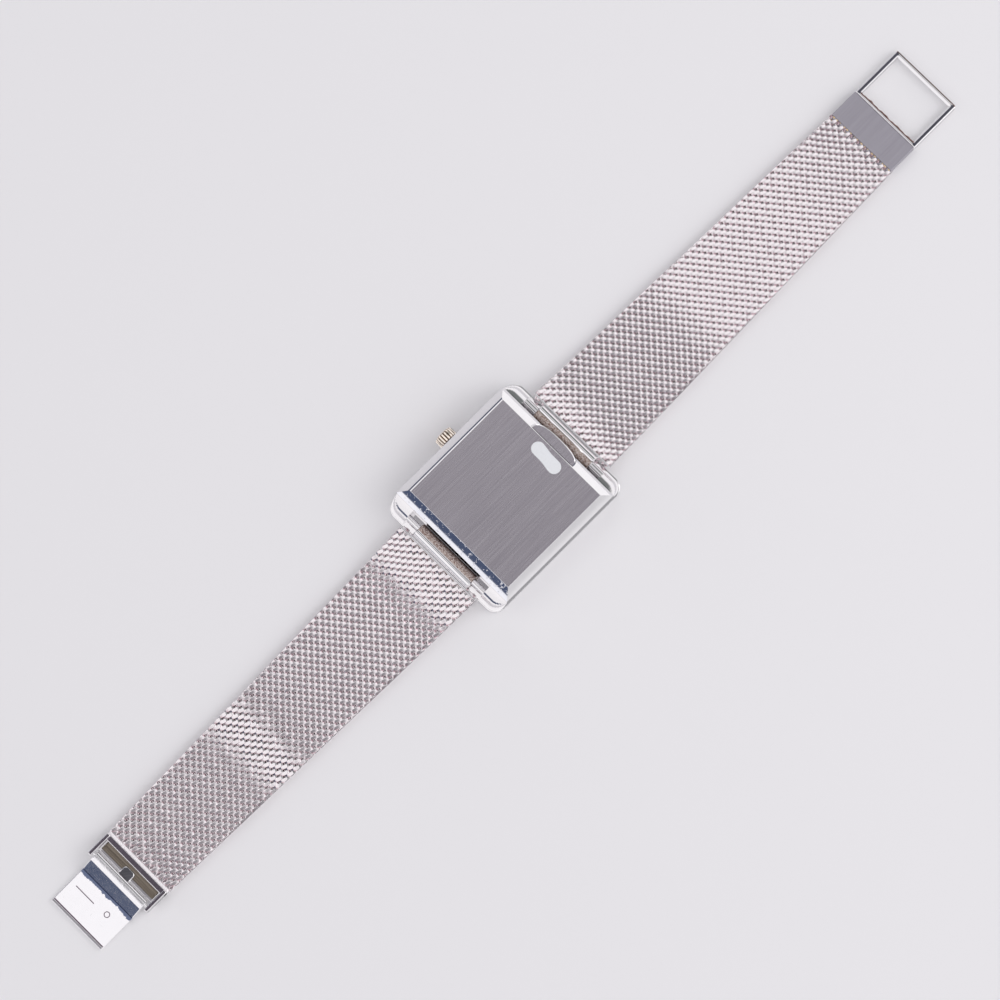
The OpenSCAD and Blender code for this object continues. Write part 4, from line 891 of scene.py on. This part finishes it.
# Painted reflection: the leaf's dark brown stands for the warm reflection in the tray's recess.
painted_reflection_brown = brushed("tarnished leaf", (0.30, 0.26, 0.215), (0.075, 0.06, 0.045), turn=(0, 0, 90),
                    rough=(0.24, 0.5), coarse=0.8)
leaf_bm = slab(-mesh_x1 - 1.5, -mesh_x1 - 3.0, 5.7, floor_t, floor_t + 0.2, 0.03)
join(leaf_bm, slab(-mesh_x1 - 1.5, -mesh_x1 - 2.05, 5.6, floor_t + 0.2, floor_t + 0.42, 0.05))
join(leaf_bm, slab(-mesh_x1 - 2.2, -mesh_x1 - 2.6, 5.5, floor_t + 0.2, floor_t + 0.32, 0.05))
add_piece(leaf_bm, "spring_leaf", "strap_6_6", [painted_reflection_brown], ["clasp_leaf"])
# The catch's flat top is painted near black, a painted dark reflection; its bevels stay mirror steel.
painted_dark_catch_top = brushed("catch top painted dark", (0.17, 0.17, 0.185), (0.045, 0.045, 0.055), turn=(0, 0, 40), rough=(0.2, 0.4))
catch_x = -84.6
catch_bm = patch(catch_x, 0, 0.9, 1.15, floor_t + 0.2)
case_side = [v for v in catch_bm.verts if v.co.x > catch_x * mm]
bmesh.ops.bevel(catch_bm, geom=case_side, offset=0.55 * mm, segments=8, profile=0.5, affect="VERTICES", material=-1)
raise_faces(catch_bm, list(catch_bm.faces), 0.55)
bmesh.ops.recalc_face_normals(catch_bm, faces=catch_bm.faces)
bevel_edges(catch_bm, sharp_edges(catch_bm, 50, floor_t + 0.7), 0.16, 3)
for face in catch_bm.faces:
    face.material_index = 1 if face.normal.z > 0.99 else 0
add_piece(catch_bm, "catch", "strap_6_6", [bevel_steel, painted_dark_catch_top], ["clasp_catch"], 50)

# Folding hook: sheet steel curled round the hinge pin, falling in a curve to a flat tongue with a hemmed tip. It bears
# only a plain ring and a fine line. Dark blue specks past the curve's far edge are a painted reflection, and a dark
# strip along the hem's edge is painted shade.
hinge_x, hinge_z, hook_hy, hook_tip, barrel_r = 85.9, 1.9, 5.55, 95.9, 0.6
pin_bm = bmesh.new()
lathe(pin_bm, [(-6.7, 0.0), (-6.7, 0.22), (-6.62, 0.3), (6.62, 0.3), (6.7, 0.22), (6.7, 0.0)],
      (-hinge_x, 0, hinge_z), (0, 1, 0), 24)
add_piece(pin_bm, "hinge_pin", "strap_6_6", [polished_steel], ["clasp_pin"])
hook_bm = bmesh.new()
line = [(hinge_x, 2.5), (86.55, 2.5), (86.8, 2.45), (87.0, 2.34), (88.95, 1.0), (89.15, 0.90), (89.4, 0.86)]
line += [(hook_tip - 1.3, 0.52), (hook_tip - 0.3, 0.4545), (hook_tip - 0.08, 0.44), (hook_tip, 0.36)]
verts = [hook_bm.verts.new((-x * mm, -hook_hy * mm, z * mm)) for x, z in line]
edges = [hook_bm.edges.new(pair) for pair in zip(verts, verts[1:])]
sheet = bmesh.ops.extrude_edge_only(hook_bm, edges=edges)
bmesh.ops.translate(hook_bm, vec=(0, 2 * hook_hy * mm, 0), verts=new_verts(sheet))
raise_faces(hook_bm, list(hook_bm.faces), -0.36)
bmesh.ops.recalc_face_normals(hook_bm, faces=hook_bm.faces)
bevel_edges(hook_bm, sharp_edges(hook_bm, 50, 0.2), 0.08)
hem = slab(-hook_tip + 0.42, -hook_tip + 0.02, hook_hy, 0.30, 0.52, 0.08, 3)
join(hook_bm, hem)
hook_metal, tree, shader = new_material("hook steel", (0.87, 0.86, 0.88), 0.08)
marks = add_group(tree, handling)
place = object_place(tree)
ragged = noise(tree, place, 620.0, 6.0, 0.72)
spot = tree.nodes.new("ShaderNodeSeparateXYZ")
tree.links.new(place, spot.inputs[0])
band = tree.nodes.new("ShaderNodeMapRange")
band.interpolation_type = "SMOOTHSTEP"
for label, value in zip(("From Min", "From Max", "To Min", "To Max"), (-0.0903, -0.0889, 0.0, 1.0)):
    band.inputs[label].default_value = value
tree.links.new(spot.outputs["X"], band.inputs["Value"])
# Painted reflection: dark blue specks that make the curve's dark reflected band end raggedly.
beyond = math_node(tree, "LESS_THAN", spot.outputs["X"], -0.0888)
edge_line = math_node(tree, "ADD", ragged, math_node(tree, "MULTIPLY", band.outputs[0], 0.55))
painted_reflection = math_node(tree, "MULTIPLY", math_node(tree, "GREATER_THAN", edge_line, 0.88), beyond)
tree.links.new(mixed(tree, painted_reflection, mixed(tree, marks.outputs["Smear"], (0.80, 0.79, 0.81), (0.90, 0.89, 0.91)),
                     (0.125, 0.150, 0.235)), shader.inputs["Base Color"])
gloss(tree, shader, marks.outputs["Smear"], 0.05, 0.16)
dents = math_node(tree, "MULTIPLY", noise(tree, place, 1700.0, 5.0, 0.65), band.outputs[0])
bump(tree, shader, math_node(tree, "ADD", marks.outputs["Scratch"], dents), 0.3, 0.00005)
lathe_bm = bmesh.new()
lathe(lathe_bm, [(-hook_hy, 0.34), (-hook_hy, barrel_r - 0.06), (-hook_hy + 0.06, barrel_r), (hook_hy - 0.06, barrel_r),
                 (hook_hy, barrel_r - 0.06), (hook_hy, 0.34), (-hook_hy, 0.34)], (-hinge_x, 0, hinge_z), (0, 1, 0), 32)
join(hook_bm, lathe_bm)
add_piece(hook_bm, "folding_hook", "clasp_hook", [hook_metal], ["clasp_hook"], 35)
mark_bm = bmesh.new()
made = bmesh.ops.create_circle(mark_bm, segments=32, radius=0.38 * mm)
outer = bmesh.ops.extrude_edge_only(mark_bm, edges=list(mark_bm.edges))
bmesh.ops.scale(mark_bm, vec=(1.36, 1.36, 1), verts=new_verts(outer))
bmesh.ops.translate(mark_bm, vec=(-91.3 * mm, -2.3 * mm, 0), verts=mark_bm.verts)
join(mark_bm, patch(-91.55, 2.4, 0.075, 2.0))
# Painted shade: a dark strip along the hem's edge.
join(mark_bm, patch(-hook_tip + 0.56, 0, 0.11, hook_hy - 0.1))
raise_faces(mark_bm, list(mark_bm.faces), -0.02)
bmesh.ops.recalc_face_normals(mark_bm, faces=mark_bm.faces)
tongue_x, tongue_z, tongue_fall = 89.4, 0.865, 0.0654
for v in mark_bm.verts:
    v.co.z += (tongue_z - tongue_fall * (-v.co.x / mm - tongue_x)) * mm
marks_and_hem_shade = brushed("scribed marks and painted hem shade", (0.17, 0.12, 0.16), (0.09, 0.06, 0.085))
add_piece(mark_bm, "hook_marks_and_hem_shade", "clasp_hook", [marks_and_hem_shade])

# Glass, its gasket, the dial with its markers, and the hands: these come in from the front, before the movement.
# None of them is seen in the photograph.
glass, tree, shader = new_material("mineral glass", (0.96, 0.98, 0.98), 0.02, 0.0)
shader.inputs["Transmission Weight"].default_value = 1.0
shader.inputs["IOR"].default_value = 1.52
marks = add_group(tree, handling)
gloss(tree, shader, marks.outputs["Smear"], 0.0, 0.04)
nylon, tree, shader = new_material("clear nylon", (0.88, 0.88, 0.85), 0.35, 0.0)
place = object_place(tree)
cloud = noise(tree, place, 1400.0, 3.0)
paint(tree, shader, cloud, (0.80, 0.80, 0.76), (0.93, 0.93, 0.91))
gloss(tree, shader, cloud, 0.25, 0.5)
dial_paint, tree, shader = new_material("sunray dial", (0.90, 0.885, 0.85), 0.3, 0.35)
place = object_place(tree)
rays = tree.nodes.new("ShaderNodeTexGradient")
rays.gradient_type = "RADIAL"
tree.links.new(place, rays.inputs[0])
beams = tree.nodes.new("ShaderNodeTexNoise")
beams.noise_dimensions = "1D"
beams.inputs["Scale"].default_value = 420.0
beams.inputs["Detail"].default_value = 5.0
tree.links.new(rays.outputs["Fac"], beams.inputs["W"])
paint(tree, shader, beams.outputs["Fac"], (0.83, 0.81, 0.77), (0.94, 0.925, 0.89))
gloss(tree, shader, beams.outputs["Fac"], 0.22, 0.42)
bump(tree, shader, beams.outputs["Fac"], 0.12, 0.00001)
hand_paint, tree, shader = new_material("satin hand lacquer", (0.06, 0.07, 0.13), 0.25, 0.3)
marks = add_group(tree, handling)
paint(tree, shader, marks.outputs["Smear"], (0.045, 0.055, 0.11), (0.08, 0.09, 0.16))
gloss(tree, shader, marks.outputs["Smear"], 0.18, 0.36)


# Movement: stamped brass plates, cut gears, an enamelled coil, a circuit on brown film, and the battery under its
# clamp. The plain nodes take their finishes here.
def plated(name, light, dark, rough, metal=1.0, scale=900.0, strength=0.15):
    material, tree, shader = new_material(name, light, rough[0], metal)
    place = object_place(tree)
    grain = noise(tree, place, scale, 5.0, 0.6)
    paint(tree, shader, grain, dark, light)
    gloss(tree, shader, grain, *rough)
    bump(tree, shader, grain, strength, 0.00001)
    return material


plate_brass = plated("plate brass", (0.86, 0.74, 0.46), (0.72, 0.58, 0.32), (0.22, 0.4))
wheel_brass = brushed("wheel brass", (0.84, 0.70, 0.40), (0.60, 0.47, 0.24), rough=(0.18, 0.34), coarse=0.3)
core_metal = plated("soft iron", (0.46, 0.46, 0.48), (0.30, 0.30, 0.33), (0.35, 0.55))
rubber = plated("gasket rubber", (0.05, 0.05, 0.055), (0.02, 0.02, 0.024), (0.55, 0.75), 0.0, 2400.0, 0.3)
moulded = plated("moulded spacer", (0.86, 0.85, 0.81), (0.78, 0.77, 0.72), (0.45, 0.6), 0.0, 1500.0)
film = plated("circuit film", (0.46, 0.28, 0.09), (0.30, 0.17, 0.05), (0.2, 0.35), 0.0, 700.0)
epoxy = plated("black epoxy", (0.035, 0.035, 0.035), (0.015, 0.015, 0.015), (0.35, 0.5), 0.0, 3000.0)
cell_steel = polished("cell steel", (0.80, 0.79, 0.79), (0.14, 0.28))
copper, tree, shader = new_material("enamelled copper", (0.72, 0.36, 0.18), 0.25)
place = object_place(tree)
winding = tree.nodes.new("ShaderNodeTexWave")
winding.bands_direction = "X"
winding.inputs["Scale"].default_value = 2600.0
winding.inputs["Distortion"].default_value = 0.6
tree.links.new(place, winding.inputs["Vector"])
paint(tree, shader, winding.outputs["Fac"], (0.40, 0.17, 0.07), (0.82, 0.44, 0.22))
bump(tree, shader, winding.outputs["Fac"], 0.4, 0.00003)

finishes = [
    (glass, ["crystal"]), (nylon, ["crystal_gasket"]), (rubber, ["back_gasket", "crown_seal"]),
    (moulded, ["movement_ring"]), (dial_paint, ["dial"]), (hand_paint, ["minute_hand", "hour_hand"]),
    (film, ["circuit_board"]), (epoxy, ["chip"]), (copper, ["coil"]), (cell_steel, ["battery", "quartz_can"]),
    (core_metal, ["coil_core", "stator", "rotor"]), (plate_brass, ["main_plate", "train_bridge", "battery_clamp"]),
    (wheel_brass, ["minute_wheel", "hour_wheel", "centre_wheel", "third_wheel", "intermediate_wheel"]),
    (polished_steel, ["crown_tube", "hour_markers", "movement_screws", "stem", "sliding_pinion", "setting_lever",
                      "cannon_pinion"]),
]
for material, nodes in finishes:
    for node in nodes:
        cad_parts[node].data.materials.clear()
        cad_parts[node].data.materials.append(material)
